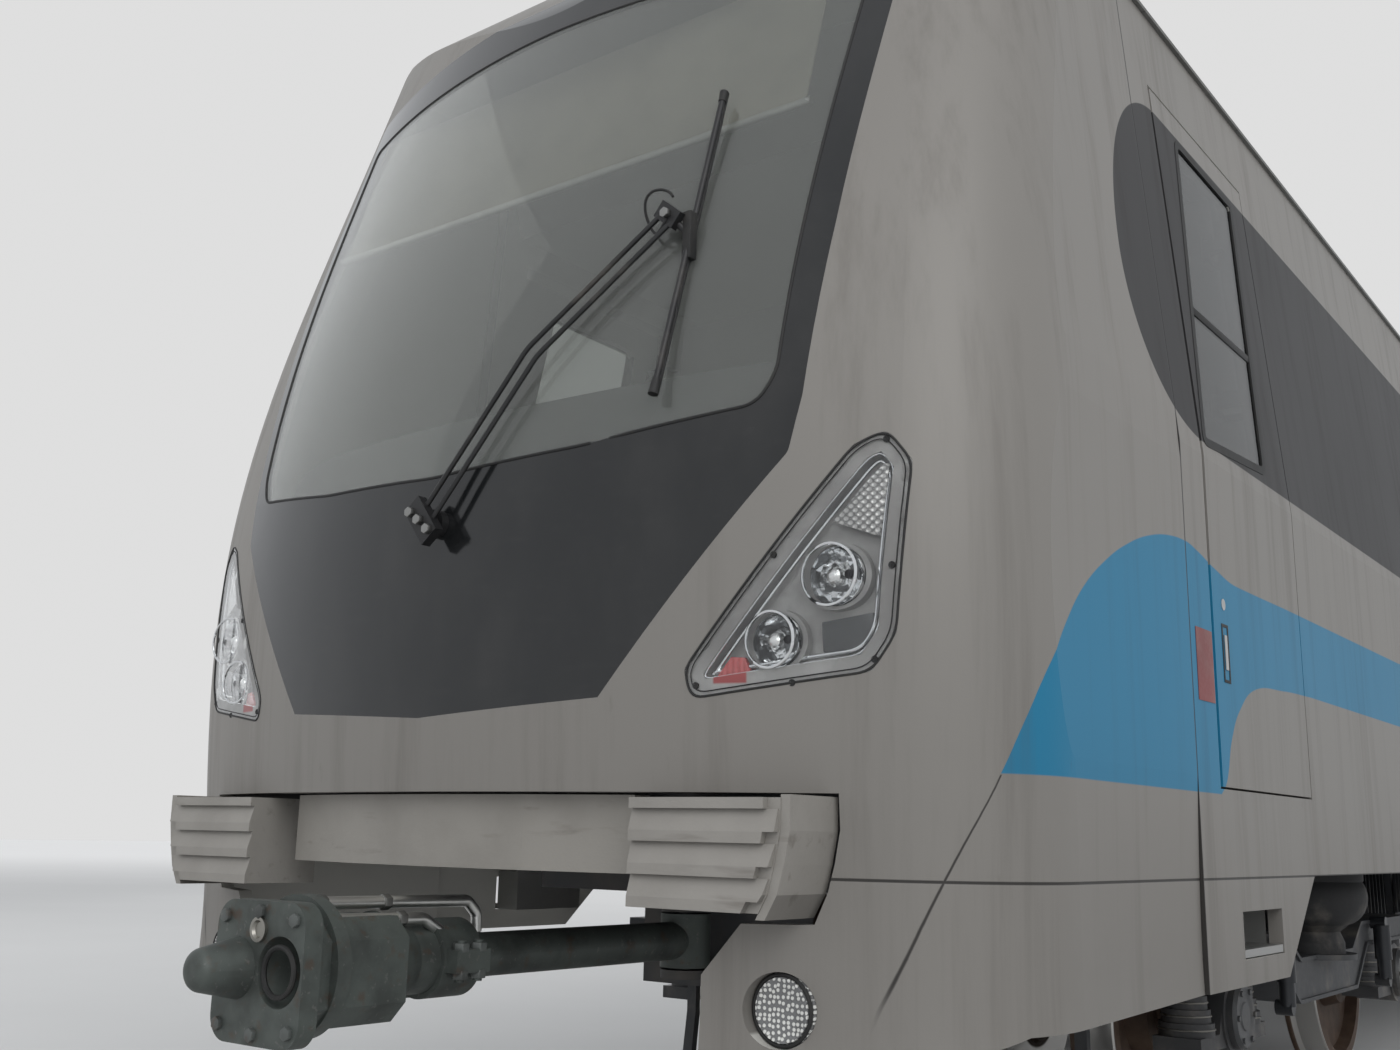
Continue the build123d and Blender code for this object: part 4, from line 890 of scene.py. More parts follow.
@dataclass(frozen=True)
class Chassis(Finish):
    """Dusty dark underframe paint, with the speckled floor covering on its top face."""

    colour: Colour = (0.050, 0.052, 0.056)
    cover: Colour = (0.155, 0.165, 0.175)

    def paint(self, graph: Graph) -> bpy.types.Material:
        """Fills the graph.

        Args:
            graph: Graph of the new material.

        Returns:
            The material.
        """
        _, _, z = graph.axes()
        top = z.rise(1.096, 1.099)
        dust = graph.noise(5.0, 6.0).rise(0.42, 0.75)
        splash = graph.noise(2.2, 4.0, (1, 1, 0.3)).rise(0.45, 0.8)
        shade = graph.mix(dust * 0.45, self.colour, (0.15, 0.128, 0.105))
        shade = graph.mix(splash * 0.3, shade, (0.080, 0.060, 0.045))
        speck = graph.cells(260.0).rise(0.12, 0.2)
        floor = graph.mix(speck, (0.34, 0.34, 0.33), self.cover)
        shade = graph.mix(top, shade, floor)
        return graph.finish(
            Base_Color=shade,
            Roughness=0.62 - top * 0.2,
            Normal=graph.bump(dust * (1 - top) + speck * 0.1, 0.002, 0.5),
        )


@dataclass(frozen=True)
class Rubber(Finish):
    """Black rubber, greyed by dust, with fine moulding grain."""

    colour: Colour = (0.012, 0.012, 0.012)

    def paint(self, graph: Graph) -> bpy.types.Material:
        """Fills the graph.

        Args:
            graph: Graph of the new material.

        Returns:
            The material.
        """
        bloom = graph.noise(11.0, 5.0).rise(0.45, 0.8)
        grain = graph.noise(240.0, 2.0)
        shade = graph.mix(bloom * 0.35, self.colour, (0.062, 0.058, 0.053))
        return graph.finish(
            Base_Color=shade, Roughness=0.62 + bloom * 0.15, Normal=graph.bump(grain, 0.0004, 0.5)
        )


@dataclass(frozen=True)
class Weave(Finish):
    """Woven upholstery with two-tone threads and small ochre dots.

    Attributes:
        colour: Darker thread.
        thread: Radians of thread pattern to the metre.
    """

    colour: Colour = (0.020, 0.034, 0.070)
    thread: float = 2600.0

    def paint(self, graph: Graph) -> bpy.types.Material:
        """Fills the graph.

        Args:
            graph: Graph of the new material.

        Returns:
            The material.
        """
        x, y, z = graph.axes()
        warp = (x * self.thread).wave() * 0.5 + 0.5
        weft = ((y + z) * self.thread).wave() * 0.5 + 0.5
        wear = graph.noise(7.0, 4.0).rise(0.45, 0.8)
        dot = graph.cells(42.0).rise(0.10, 0.16)
        shade = graph.mix(warp * 0.5 + wear * 0.2, self.colour, (0.055, 0.075, 0.12))
        shade = graph.mix((1 - dot) * 0.7, shade, (0.17, 0.10, 0.03))
        return graph.finish(
            Base_Color=shade, Roughness=0.85, Normal=graph.bump(warp.most(weft), 0.0006, 0.6), Sheen_Weight=0.25
        )


@dataclass(frozen=True)
class Brushed(Finish):
    """Brushed stainless steel or aluminium, brushed along one axis.

    Attributes:
        colour: Metal.
        grain: Stretch of the brush marks along each axis.
        roughness: Roughness between marks.
    """

    colour: Colour = (0.52, 0.52, 0.51)
    grain: Point = (60.0, 60.0, 2.0)
    roughness: float = 0.30

    def paint(self, graph: Graph) -> bpy.types.Material:
        """Fills the graph.

        Args:
            graph: Graph of the new material.

        Returns:
            The material.
        """
        brush = graph.noise(9.0, 4.0, self.grain)
        smear = graph.noise(5.0, 4.0).rise(0.5, 0.8)
        shade = graph.mix(smear * 0.25, self.colour, (0.30, 0.29, 0.28))
        return graph.finish(
            Base_Color=shade,
            Metallic=1.0,
            Roughness=self.roughness + brush * 0.14,
            Normal=graph.bump(brush, 0.0003, 0.4),
        )


@dataclass(frozen=True)
class Bellows(Finish):
    """Coated fabric of the gangway folds, paler on the crests and in dusty patches."""

    colour: Colour = (0.035, 0.037, 0.040)

    def paint(self, graph: Graph) -> bpy.types.Material:
        """Fills the graph.

        Args:
            graph: Graph of the new material.

        Returns:
            The material.
        """
        _, y, _ = graph.axes()
        crest = ((y - 9.70) * (2 * math.pi / 0.076) - 1.57).wave() * 0.5 + 0.5
        dust = graph.noise(8.0, 5.0)
        web = graph.noise(420.0, 2.0)
        shade = graph.mix(crest * 0.35 + dust.rise(0.5, 0.8) * 0.25, self.colour, (0.13, 0.12, 0.105))
        return graph.finish(Base_Color=shade, Roughness=0.72, Normal=graph.bump(web, 0.0006, 0.5))


@dataclass(frozen=True)
class Glow(Finish):
    """Switched-on light cover or screen with a faint pattern.

    Attributes:
        colour: Light colour.
        strength: Emission strength.
        pattern: Size of the faint pattern, in repeats to the metre.
    """

    colour: Colour = (0.9, 0.92, 0.9)
    strength: float = 1.2
    pattern: float = 12.0

    def paint(self, graph: Graph) -> bpy.types.Material:
        """Fills the graph.

        Args:
            graph: Graph of the new material.

        Returns:
            The material.
        """
        cloud = graph.noise(self.pattern, 2.0)
        dim = tuple(c * 0.8 for c in self.colour)
        shade = graph.mix(cloud.rise(0.4, 0.6), self.colour, dim)
        return graph.finish(
            Base_Color=shade, Roughness=0.4, Emission_Color=shade, Emission_Strength=self.strength
        )


def up(x: float, y: float, z: float) -> Vector:
    """A point given with its height above the rail."""
    return Vector((x, y, z + RAIL))


def side_x(z: float, inset: float = 0.0) -> float:
    """Half width of the car at a height above the rail."""
    return 1.4 - 0.084 * max(0.0, z - 2.0) - inset


def rounded(corners: list[tuple[float, float]], radius: float, steps: int = 6) -> list[tuple[float, float]]:
    """Closed outline with its corners rounded.

    Args:
        corners: Corner points in order.
        radius: Distance from each corner at which the rounding starts.
        steps: Points on each corner.

    Returns:
        The outline's points.
    """
    out = []
    for index, corner in enumerate(corners):
        here = Vector(corner)
        back = Vector(corners[index - 1]) - here
        ahead = Vector(corners[(index + 1) % len(corners)]) - here
        first = here + back.normalized() * min(radius, back.length * 0.45)
        last = here + ahead.normalized() * min(radius, ahead.length * 0.45)
        for step in range(steps + 1):
            t = step / steps
            out.append(tuple(first * (1 - t) ** 2 + here * (2 * t * (1 - t)) + last * t**2))
    return out


def shrunk(corners: list[tuple[float, float]], inset: float) -> list[tuple[float, float]]:
    """Convex outline, given anticlockwise, moved in by a distance.

    Args:
        corners: Points of the outline.
        inset: Distance.

    Returns:
        The smaller outline.
    """
    lines = []
    for index, corner in enumerate(corners):
        here, ahead = Vector(corner), Vector(corners[(index + 1) % len(corners)])
        along = (ahead - here).normalized()
        lines.append((here + Vector((-along.y, along.x)) * inset, along))
    out = []
    for index, (spot, along) in enumerate(lines):
        other, before = lines[index - 1]
        cross = before.x * along.y - before.y * along.x
        gap = spot - other
        out.append(tuple(other + before * ((gap.x * along.y - gap.y * along.x) / cross)))
    return out


def dense(outline: list[tuple[float, float]], step: float) -> list[Vector]:
    """Closed outline with points added on its long sides.

    Args:
        outline: Points of the outline.
        step: Shortest distance between added points.

    Returns:
        All the points.
    """
    out = []
    for here, ahead in zip(outline, outline[1:] + outline[:1]):
        count = max(1, int((Vector(ahead) - Vector(here)).length / step))
        out += [Vector(here).lerp(Vector(ahead), index / count) for index in range(count)]
    return out


def cab_front(x: float, z: float) -> float:
    """Front surface of the cab at a place seen from the front, z above the rail.

    Args:
        x: Across the car.
        z: Height above the rail.

    Returns:
        Station of the surface.
    """
    best = 0.0
    for name in ("cab_shell", "front_mask", "windscreen", "headlamp_lenses", "cab_skirt"):
        hit, spot, _, _ = frame["nodes"][name].ray_cast(Vector((x, -12.0, z + RAIL)), Vector((0, 1, 0)))
        if hit and spot.y < -8.6:
            best = min(best, spot.y)
    return best


class Piece:
    """One mesh while it is modelled, from its primitive to its place on the car."""

    def __init__(self, name: str) -> None:
        """Takes the active object as a new piece with its place in its mesh.

        Args:
            name: Piece name.
        """
        self.obj = bpy.context.object
        self.obj.name = name
        bpy.ops.object.transform_apply(location=True, rotation=True, scale=True)

    @staticmethod
    def release() -> None:
        """Leaves edit mode and deselects everything."""
        if bpy.context.object and bpy.context.object.mode == "EDIT":
            bpy.ops.object.mode_set(mode="OBJECT")
        for other in list(bpy.context.selected_objects):
            other.select_set(False)

    def chosen(self) -> None:
        """Makes the piece the only selected object, and the active one."""
        self.release()
        self.obj.select_set(True)
        bpy.context.view_layer.objects.active = self.obj

    @classmethod
    def box(cls, name: str, low: Vector, high: Vector) -> "Piece":
        """A box between two corners.

        Args:
            name: Piece name.
            low: Lowest corner.
            high: Highest corner.

        Returns:
            The box.
        """
        cls.release()
        bpy.ops.mesh.primitive_cube_add(size=1, location=(low + high) / 2)
        bpy.context.object.scale = [abs(v) for v in high - low]
        return cls(name)

    @classmethod
    def rod(
        cls, name: str, radius: float, start: Vector, end: Vector, sides: int = 16, tip: float | None = None
    ) -> "Piece":
        """A round bar between two points, tapered to a tip radius where one is given.

        Args:
            name: Piece name.
            radius: Radius at the start.
            start: First end.
            end: Second end.
            sides: Flats round it.
            tip: Radius at the second end.

        Returns:
            The bar.
        """
        cls.release()
        along = end - start
        turn = along.to_track_quat("Z", "Y").to_euler()
        bpy.ops.mesh.primitive_cone_add(
            vertices=sides,
            radius1=radius,
            radius2=radius if tip is None else tip,
            depth=along.length,
            location=(start + end) / 2,
            rotation=turn,
        )
        return cls(name)

    @classmethod
    def ball(cls, name: str, radius: float, centre: Vector, sides: int = 24, rings: int = 12) -> "Piece":
        """A sphere whose poles lie along Y.

        Args:
            name: Piece name.
            radius: Radius.
            centre: Centre.
            sides: Flats round it.
            rings: Flats from pole to pole.

        Returns:
            The sphere.
        """
        cls.release()
        bpy.ops.mesh.primitive_uv_sphere_add(
            segments=sides, ring_count=rings, radius=radius, location=centre, rotation=(math.pi / 2, 0, 0)
        )
        return cls(name)

    @classmethod
    def hoop(
        cls, name: str, radius: float, thick: float, centre: Vector, along: Vector, sides: int = 40
    ) -> "Piece":
        """A torus round an axis.

        Args:
            name: Piece name.
            radius: Radius of its centre line.
            thick: Radius of its tube.
            centre: Centre.
            along: Axis.
            sides: Flats round it.

        Returns:
            The torus.
        """
        cls.release()
        turn = along.to_track_quat("Z", "Y").to_euler()
        bpy.ops.mesh.primitive_torus_add(
            major_radius=radius,
            minor_radius=thick,
            major_segments=sides,
            minor_segments=8,
            location=centre,
            rotation=turn,
        )
        return cls(name)

    @classmethod
    def plate(cls, name: str, corners: list[Vector], thick: Vector) -> "Piece":
        """A flat or gently curved outline, extruded by a vector.

        Args:
            name: Piece name.
            corners: Outline.
            thick: Vector from one face to the other.

        Returns:
            The plate.
        """
        cls.release()
        bpy.ops.mesh.primitive_circle_add(vertices=len(corners), radius=1, fill_type="NGON")
        piece = cls(name)
        for vertex, spot in zip(piece.obj.data.vertices, corners):
            vertex.co = spot
        piece.pick(lambda centre, normal: True)
        bpy.ops.mesh.extrude_region_move(TRANSFORM_OT_translate={"value": thick})
        return piece.righted()

    @classmethod
    def tube(
        cls, name: str, points: list[Vector], radius: float, closed: bool = False, sides: int = 2
    ) -> "Piece":
        """A round strip along points: a bevelled curve made a mesh.

        Args:
            name: Piece name.
            points: Centre line.
            radius: Radius.
            closed: Whether the ends join.
            sides: Bevel resolution of the curve.

        Returns:
            The strip.
        """
        cls.release()
        curve = bpy.data.curves.new(name, "CURVE")
        curve.dimensions = "3D"
        curve.bevel_depth = radius
        curve.bevel_resolution = sides
        curve.use_fill_caps = not closed
        line = curve.splines.new("POLY")
        line.points.add(len(points) - 1)
        for spot, point in zip(line.points, points):
            spot.co = (*point, 1.0)
        line.use_cyclic_u = closed
        holder = bpy.data.objects.new(name, curve)
        bpy.context.scene.collection.objects.link(holder)
        holder.select_set(True)
        bpy.context.view_layer.objects.active = holder
        bpy.ops.object.convert(target="MESH")
        return cls(name)

    def pick(self, test: Callable[[Vector, Vector], bool]) -> "Piece":
        """Enters edit mode with the faces selected whose centre and normal pass a test.

        Args:
            test: Says for a face's centre and normal whether it is wanted.

        Returns:
            The piece, in edit mode.
        """
        self.chosen()
        bpy.ops.object.mode_set(mode="EDIT")
        bpy.ops.mesh.select_mode(type="FACE")
        bpy.ops.mesh.select_all(action="DESELECT")
        mesh = bmesh.from_edit_mesh(self.obj.data)
        for face in mesh.faces:
            face.select = test(face.calc_center_median(), face.normal)
        mesh.select_flush_mode()
        bmesh.update_edit_mesh(self.obj.data)
        return self

    def facing(self, way: Point) -> "Piece":
        """Picks the faces that look in a direction."""
        return self.pick(lambda spot, normal: normal.dot(Vector(way)) > 0.9)

    def inset(self, width: float, depth: float = 0.0) -> "Piece":
        """Insets the selected faces and sinks or raises what is inside."""
        bpy.ops.mesh.inset(thickness=width, depth=depth)
        return self

    def extruded(self, move: Vector) -> "Piece":
        """Extrudes the selected faces by a vector."""
        bpy.ops.mesh.extrude_region_move(TRANSFORM_OT_translate={"value": move})
        return self

    def opened(self) -> "Piece":
        """Deletes the selected faces."""
        bpy.ops.mesh.delete(type="FACE")
        return self

    def bridged(self) -> "Piece":
        """Joins the two open rims with a band of faces."""
        bpy.ops.mesh.select_mode(type="EDGE")
        bpy.ops.mesh.select_all(action="DESELECT")
        bpy.ops.mesh.select_non_manifold(extend=False, use_wire=False, use_multi_face=False, use_verts=False)
        bpy.ops.mesh.bridge_edge_loops()
        return self.righted()

    def softened(self, width: float, steps: int = 2) -> "Piece":
        """Bevels every sharp edge of the whole piece.

        Args:
            width: Bevel width.
            steps: Bevel segments.

        Returns:
            The piece.
        """
        self.release()
        bevel = self.obj.modifiers.new("bevel", "BEVEL")
        bevel.width = width
        bevel.segments = steps
        bevel.limit_method = "ANGLE"
        bevel.angle_limit = math.radians(35)
        return self.applied(bevel)

    def walled(self, thick: float) -> "Piece":
        """Gives an open sheet a wall, inwards.

        Args:
            thick: Wall thickness.

        Returns:
            The piece.
        """
        wall = self.obj.modifiers.new("wall", "SOLIDIFY")
        wall.thickness = thick
        wall.offset = -1
        return self.applied(wall)

    def applied(self, modifier: bpy.types.Modifier) -> "Piece":
        """Applies a modifier.

        Args:
            modifier: Modifier of this piece.

        Returns:
            The piece.
        """
        self.chosen()
        bpy.ops.object.modifier_apply(modifier=modifier.name)
        return self

    def righted(self) -> "Piece":
        """Merges doubled points and turns the faces outwards."""
        self.pick(lambda centre, normal: True)
        bpy.ops.mesh.select_all(action="SELECT")
        bpy.ops.mesh.remove_doubles(threshold=0.00005)
        bpy.ops.mesh.normals_make_consistent(inside=False)
        self.release()
        return self

    def copied(self, moves: list[Matrix]) -> "Piece":
        """Joins copies of the piece, one for each placing, into one mesh that takes its place.

        Args:
            moves: Placings.

        Returns:
            The joined piece.
        """
        self.release()
        copies = []
        for move in moves:
            twin = bpy.data.objects.new(self.obj.name, self.obj.data.copy())
            twin.data.transform(move)
            if move.determinant() < 0:
                twin.data.flip_normals()
            bpy.context.scene.collection.objects.link(twin)
            copies.append(twin)
        name = self.obj.name
        bpy.data.objects.remove(self.obj)
        for twin in copies:
            twin.select_set(True)
        bpy.context.view_layer.objects.active = copies[0]
        if len(copies) > 1:
            bpy.ops.object.join()
        self.obj = bpy.context.view_layer.objects.active
        self.obj.name = name
        return self

    def at(self, places: list[Vector]) -> "Piece":
        """Copies at shifts from where the piece was modelled."""
        return self.copied([Matrix.Translation(place) for place in places])

    def both(self) -> "Piece":
        """The piece and its mirror image on the left side."""
        return self.copied([Matrix.Identity(4), MIRROR])

    def joined(self, *others: "Piece") -> "Piece":
        """Joins other pieces into this one."""
        self.chosen()
        for other in others:
            other.obj.select_set(True)
        bpy.ops.object.join()
        return self

    def done(self, body: str, slot: str, finish: Finish, smooth: float = 35.0) -> bpy.types.Object:
        """Smooths, dresses and mounts the finished piece.

        Args:
            body: CAD body it rides on.
            slot: Material slot of the record; not used.
            finish: Its finish.
            smooth: Edge angle in degrees up to which it is shaded smooth, 0 for facets.

        Returns:
            The piece's object.
        """
        self.chosen()
        if smooth:
            bpy.ops.object.shade_smooth_by_angle(angle=math.radians(smooth))
        self.obj.data.materials.clear()
        self.obj.data.materials.append(finish.material())
        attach(self.obj, body)
        log.info("%s: %d faces on %s", self.obj.name, len(self.obj.data.polygons), body)
        return self.obj

    def rubber(self, body: str) -> bpy.types.Object:
        """Finishes the piece in black rubber on a body."""
        return self.done(body, "rubber_black", RUBBER)

    def steel(self, body: str) -> bpy.types.Object:
        """Finishes the piece in brushed steel on a body."""
        return self.done(body, "stainless", STEEL)


MIRROR = Matrix.Scale(-1, 4, Vector((1, 0, 0)))


class Side(Enum):
    """A side of the car, facing forwards along the track."""

    RIGHT = "right"
    LEFT = "left"

    @property
    def placing(self) -> Matrix:
        """Takes a piece modelled on the right to this side."""
        return MIRROR if self is Side.LEFT else Matrix.Identity(4)

    @property
    def cab_door(self) -> str:
        """Body of this side's cab door."""
        return f"cab_door_{self.value}"


class End(Enum):
    """A direction along the car; the value is its sign on the Y axis."""

    FRONT = -1
    REAR = 1

    @property
    def word(self) -> str:
        """Name as the bodies' names have it."""
        return self.name.lower()


RUBBER = Rubber()
CHROME = Chrome()
STEEL = Brushed()


@dataclass
class Headlamps:
    """Gaskets, bezel, bowls, bulbs, reflector and marker lamp of both headlamps.

    Attributes:
        outline: Lens outline seen from the front.
        flange: Width of the screwed flange.
        bowls: Place across, height, radius and station of each bowl.
        screws: Screw places.
    """

    outline: tuple = (
        (0.737, 1.297), (0.753, 1.234), (1.127, 1.284), (1.176, 1.362), (1.205, 1.726), (1.153, 1.798),
        (1.088, 1.768),
    )
    flange: float = 0.038
    bowls: tuple = ((1.049, 1.487, 0.0632, -9.464), (0.928, 1.354, 0.0572, -9.5054))
    screws: tuple = (
        (1.152, 1.776), (0.931, 1.534), (1.168, 1.503), (1.133, 1.309), (0.969, 1.264), (0.764, 1.262)
    )

    def on_lens(self, inset: float, sink: float, corner: float) -> list[Vector]:
        """Points round the lens on its surface.

        Args:
            inset: Distance in from the outline.
            sink: Depth behind the surface.
            corner: Corner radius.

        Returns:
            The points.
        """
        flat = rounded(shrunk(list(self.outline), inset), corner)
        return [up(x, cab_front(x, z) + sink, z) for x, z in dense(flat, 0.03)]

    def seals(self) -> None:
        """Double rubber line round the lens and the bright bezel inside its flange."""
        rows = (
            ("lamp_gasket", 0.001, 0.0005, 0.0028, "rubber_black", RUBBER),
            ("lamp_gasket_inner", 0.011, 0.0005, 0.0014, "rubber_black", RUBBER),
            ("lamp_bezel", self.flange, 0.012, 0.0024, "lamp_reflector", CHROME),
            ("lamp_bezel_inner", self.flange + 0.013, 0.022, 0.0042, "lamp_reflector", CHROME),
        )
        for name, inset, sink, thick, slot, finish in rows:
            ring = Piece.tube(name, self.on_lens(inset, sink, 0.03), thick, True)
            ring.both().done("carbody", slot, finish)

    def optics(self) -> None:
        """Faceted bowls with rings, glass domes and side bulbs."""
        for index, (x, z, radius, y) in enumerate(self.bowls):
            centre = up(x, y, z)
            bowl = Piece.ball(f"lamp_bowl_{index}", radius, centre, 20, 14)
            bowl.pick(lambda spot, normal: spot.y < y).opened()
            bowl.pick(lambda spot, normal: True)
            bpy.ops.mesh.flip_normals()
            bowl.walled(0.0012).both().done("carbody", "lamp_reflector", FacetedChrome(), 0)
            mouth = up(x, y - radius * 0.45, z)
            sleeve = Piece.hoop(f"lamp_ring_{index}", radius + 0.002, 0.0034, mouth, Vector((0, 1, 0)))
            sleeve.both().done("carbody", "lamp_reflector", CHROME)
            middle = centre + Vector((-0.10, 0.20, 0)) * radius
            dome = Piece.ball(f"lamp_dome_{index}", radius * 0.34, middle, 16, 10)
            dome.both().done("carbody", "lamp_reflector", Chrome((0.88, 0.88, 0.87), 0.16), 0)
            start, end = centre + Vector((0.55, 0.25, 0)) * radius, centre + Vector((0.55, -0.12, 0)) * radius
            bulb = Piece.rod(f"lamp_bulb_{index}", radius * 0.16, start, end, 12)
            bulb.softened(0.0015).both().done("carbody", "lamp_white", Plain((0.035, 0.035, 0.04), 0.25, 0.5))

    def panels(self) -> None:
        """Honeycomb reflector, dark well and red marker lamp behind the lens."""
        reflex = ((1.139, 1.726), (1.155, 1.724), (1.138, 1.566), (1.044, 1.602))
        well = ((1.018, 1.391), (1.120, 1.409), (1.116, 1.334), (1.020, 1.328))
        marker = ((0.800, 1.277), (0.876, 1.288), (0.864, 1.320), (0.834, 1.322))
        rows = (
            ("lamp_reflex", reflex, 0.014, 0.010, "lamp_reflector", Reflex()),
            ("lamp_well", well, 0.026, 0.010, "black_panel", GlossPanel((0.055, 0.058, 0.062), 0.12)),
            ("lamp_marker", marker, 0.014, 0.012, "lamp_reflector", SignalLens((0.60, 0.07, 0.07), 500)),
        )
        for name, corners, sink, thick, slot, finish in rows:
            spots = [up(x, cab_front(x, z) + sink, z) for x, z in corners]
            piece = Piece.plate(name, spots, Vector((0, thick, 0))).softened(0.002)
            piece.both().done("carbody", slot, finish)

    def fixings(self) -> None:
        """Dark countersunk screws through the flange."""
        head = Piece.rod("lamp_screws", 0.0075, Vector((0, 0.003, 0)), Vector((0, -0.0012, 0)), 12)
        head.facing((0, -1, 0)).inset(0.003, -0.0006)
        places = [up(x, cab_front(x, z), z) for x, z in self.screws]
        head.at(places).both().done("carbody", "rubber_black", Plain((0.03, 0.03, 0.03), 0.45, 0.6))

    def build(self) -> None:
        """Builds all of it."""
        self.seals()
        self.optics()
        self.panels()
        self.fixings()


@dataclass
class Windscreen:
    """Seal, sun visor and wiper fittings of the windscreen.

    Attributes:
        outline: Right half of the pane's edge, from bottom to top.
        visor_low: Lower edge of the sun visor.
        visor_half: Half width of the sun visor.
    """

    outline: tuple = (
        (0.0, 1.802), (0.456, 1.824), (0.877, 1.878), (0.916, 1.951), (0.927, 2.219), (0.961, 2.992),
        (0.968, 3.18), (0.0, 3.195),
    )
    visor_low: float = 2.70
    visor_half: float = 0.86

    def seal(self) -> None:
        """Rubber line between glass and mask."""
        right = list(self.outline)
        whole = right + [(-x, z) for x, z in reversed(right[1:-1])]
        flat = rounded(whole, 0.035)
        spots = [up(x, cab_front(x, z), z) for x, z in dense(flat, 0.04)]
        Piece.tube("screen_seal", spots, 0.004, True).rubber("carbody")

    def visor(self) -> None:
        """Pale visor panel behind the top of the glass, with its bottom bar."""
        low, high = up(-self.visor_half, -9.30, self.visor_low), up(self.visor_half, -9.296, 3.16)
        panel = Piece.box("sun_visor", low, high)
        panel.facing((0, 0, 1))
        bpy.ops.transform.translate(value=(0, 0.13, 0))
        panel.done("carbody", "interior_panel", Plain((0.42, 0.385, 0.32), 0.75, 0.0, 300.0))
        left, right = (up(way * (self.visor_half + 0.02), -9.302, self.visor_low) for way in (-1, 1))
        Piece.rod("visor_bar", 0.011, left, right).softened(0.002).steel("carbody")

    def wiper_fittings(self) -> None:
        """Blade rubber, end caps, arm bolts and the washer hose loop."""
        low, high = up(0.658, -9.608, 1.915), up(0.697, -9.414, 2.734)
        middle, shift = low.lerp(high, 0.5), Vector((0.0, 0.014, 0.004))
        lip = Piece.rod("wiper_lip", 0.0045, low + shift, high + shift, 8)
        lip.joined(
            Piece.rod("cap_low", 0.0125, low, low.lerp(high, 0.045), 14, 0.010),
            Piece.rod("cap_high", 0.010, low.lerp(high, 0.965), high, 14, 0.0115),
            Piece.box(
                "holder", middle - Vector((0.014, 0.016, 0.06)), middle + Vector((0.012, 0.012, 0.06))
            ).softened(0.004),
        ).rubber("carbody")
        loop = []
        for step in range(25):
            turn = math.pi * (0.2 + 1.6 * step / 24)
            x, y = 0.600 + 0.050 * math.cos(turn) * 0.8, -9.535 + 0.012 * math.sin(turn * 2)
            loop.append(up(x, y, 2.400 + 0.055 * math.sin(turn)))
        Piece.tube("washer_hose", loop, 0.0035).rubber("carbody")
        nut = Piece.rod("wiper_nuts", 0.013, Vector((0, 0, 0)), Vector((0, -0.014, 0)), 6).softened(0.0015)
        spots = ((0.04, -9.725, 1.678), (0.008, -9.724, 1.700), (0.072, -9.724, 1.652), (0.633, -9.546, 2.380))
        nut.at([up(*spot) for spot in spots]).done("carbody", "stainless", Brushed((0.30, 0.30, 0.29)))

    def build(self) -> None:
        """Builds all of it."""
        self.seal()
        self.visor()
        self.wiper_fittings()


@dataclass
class FrontEnd:
    """Round lamps let into the skirt.

    Attributes:
        lamp: Place across, height and radius of the skirt lamp.
    """

    lamp: tuple = (0.930, 0.615, 0.073)

    def skirt_lamps(self) -> None:
        """Recessed round lamp faces in rubber rings."""
        x, z, radius = self.lamp
        near, far = up(x, -9.480, z), up(x, -9.470, z)
        face = Piece.rod("skirt_lamp_face", radius - 0.010, near, far, 36, radius - 0.007)
        face.facing((0, -1, 0)).inset(0.005, 0.0).inset(0.003, -0.002)
        face.both().done("carbody", "lamp_white", LedFace())
        ring = Piece.hoop("skirt_lamp_ring", radius - 0.0045, 0.0042, up(x, -9.476, z), Vector((0, 1, 0)))
        ring.both().rubber("carbody")

    def build(self) -> None:
        """Builds all of it."""
        self.skirt_lamps()


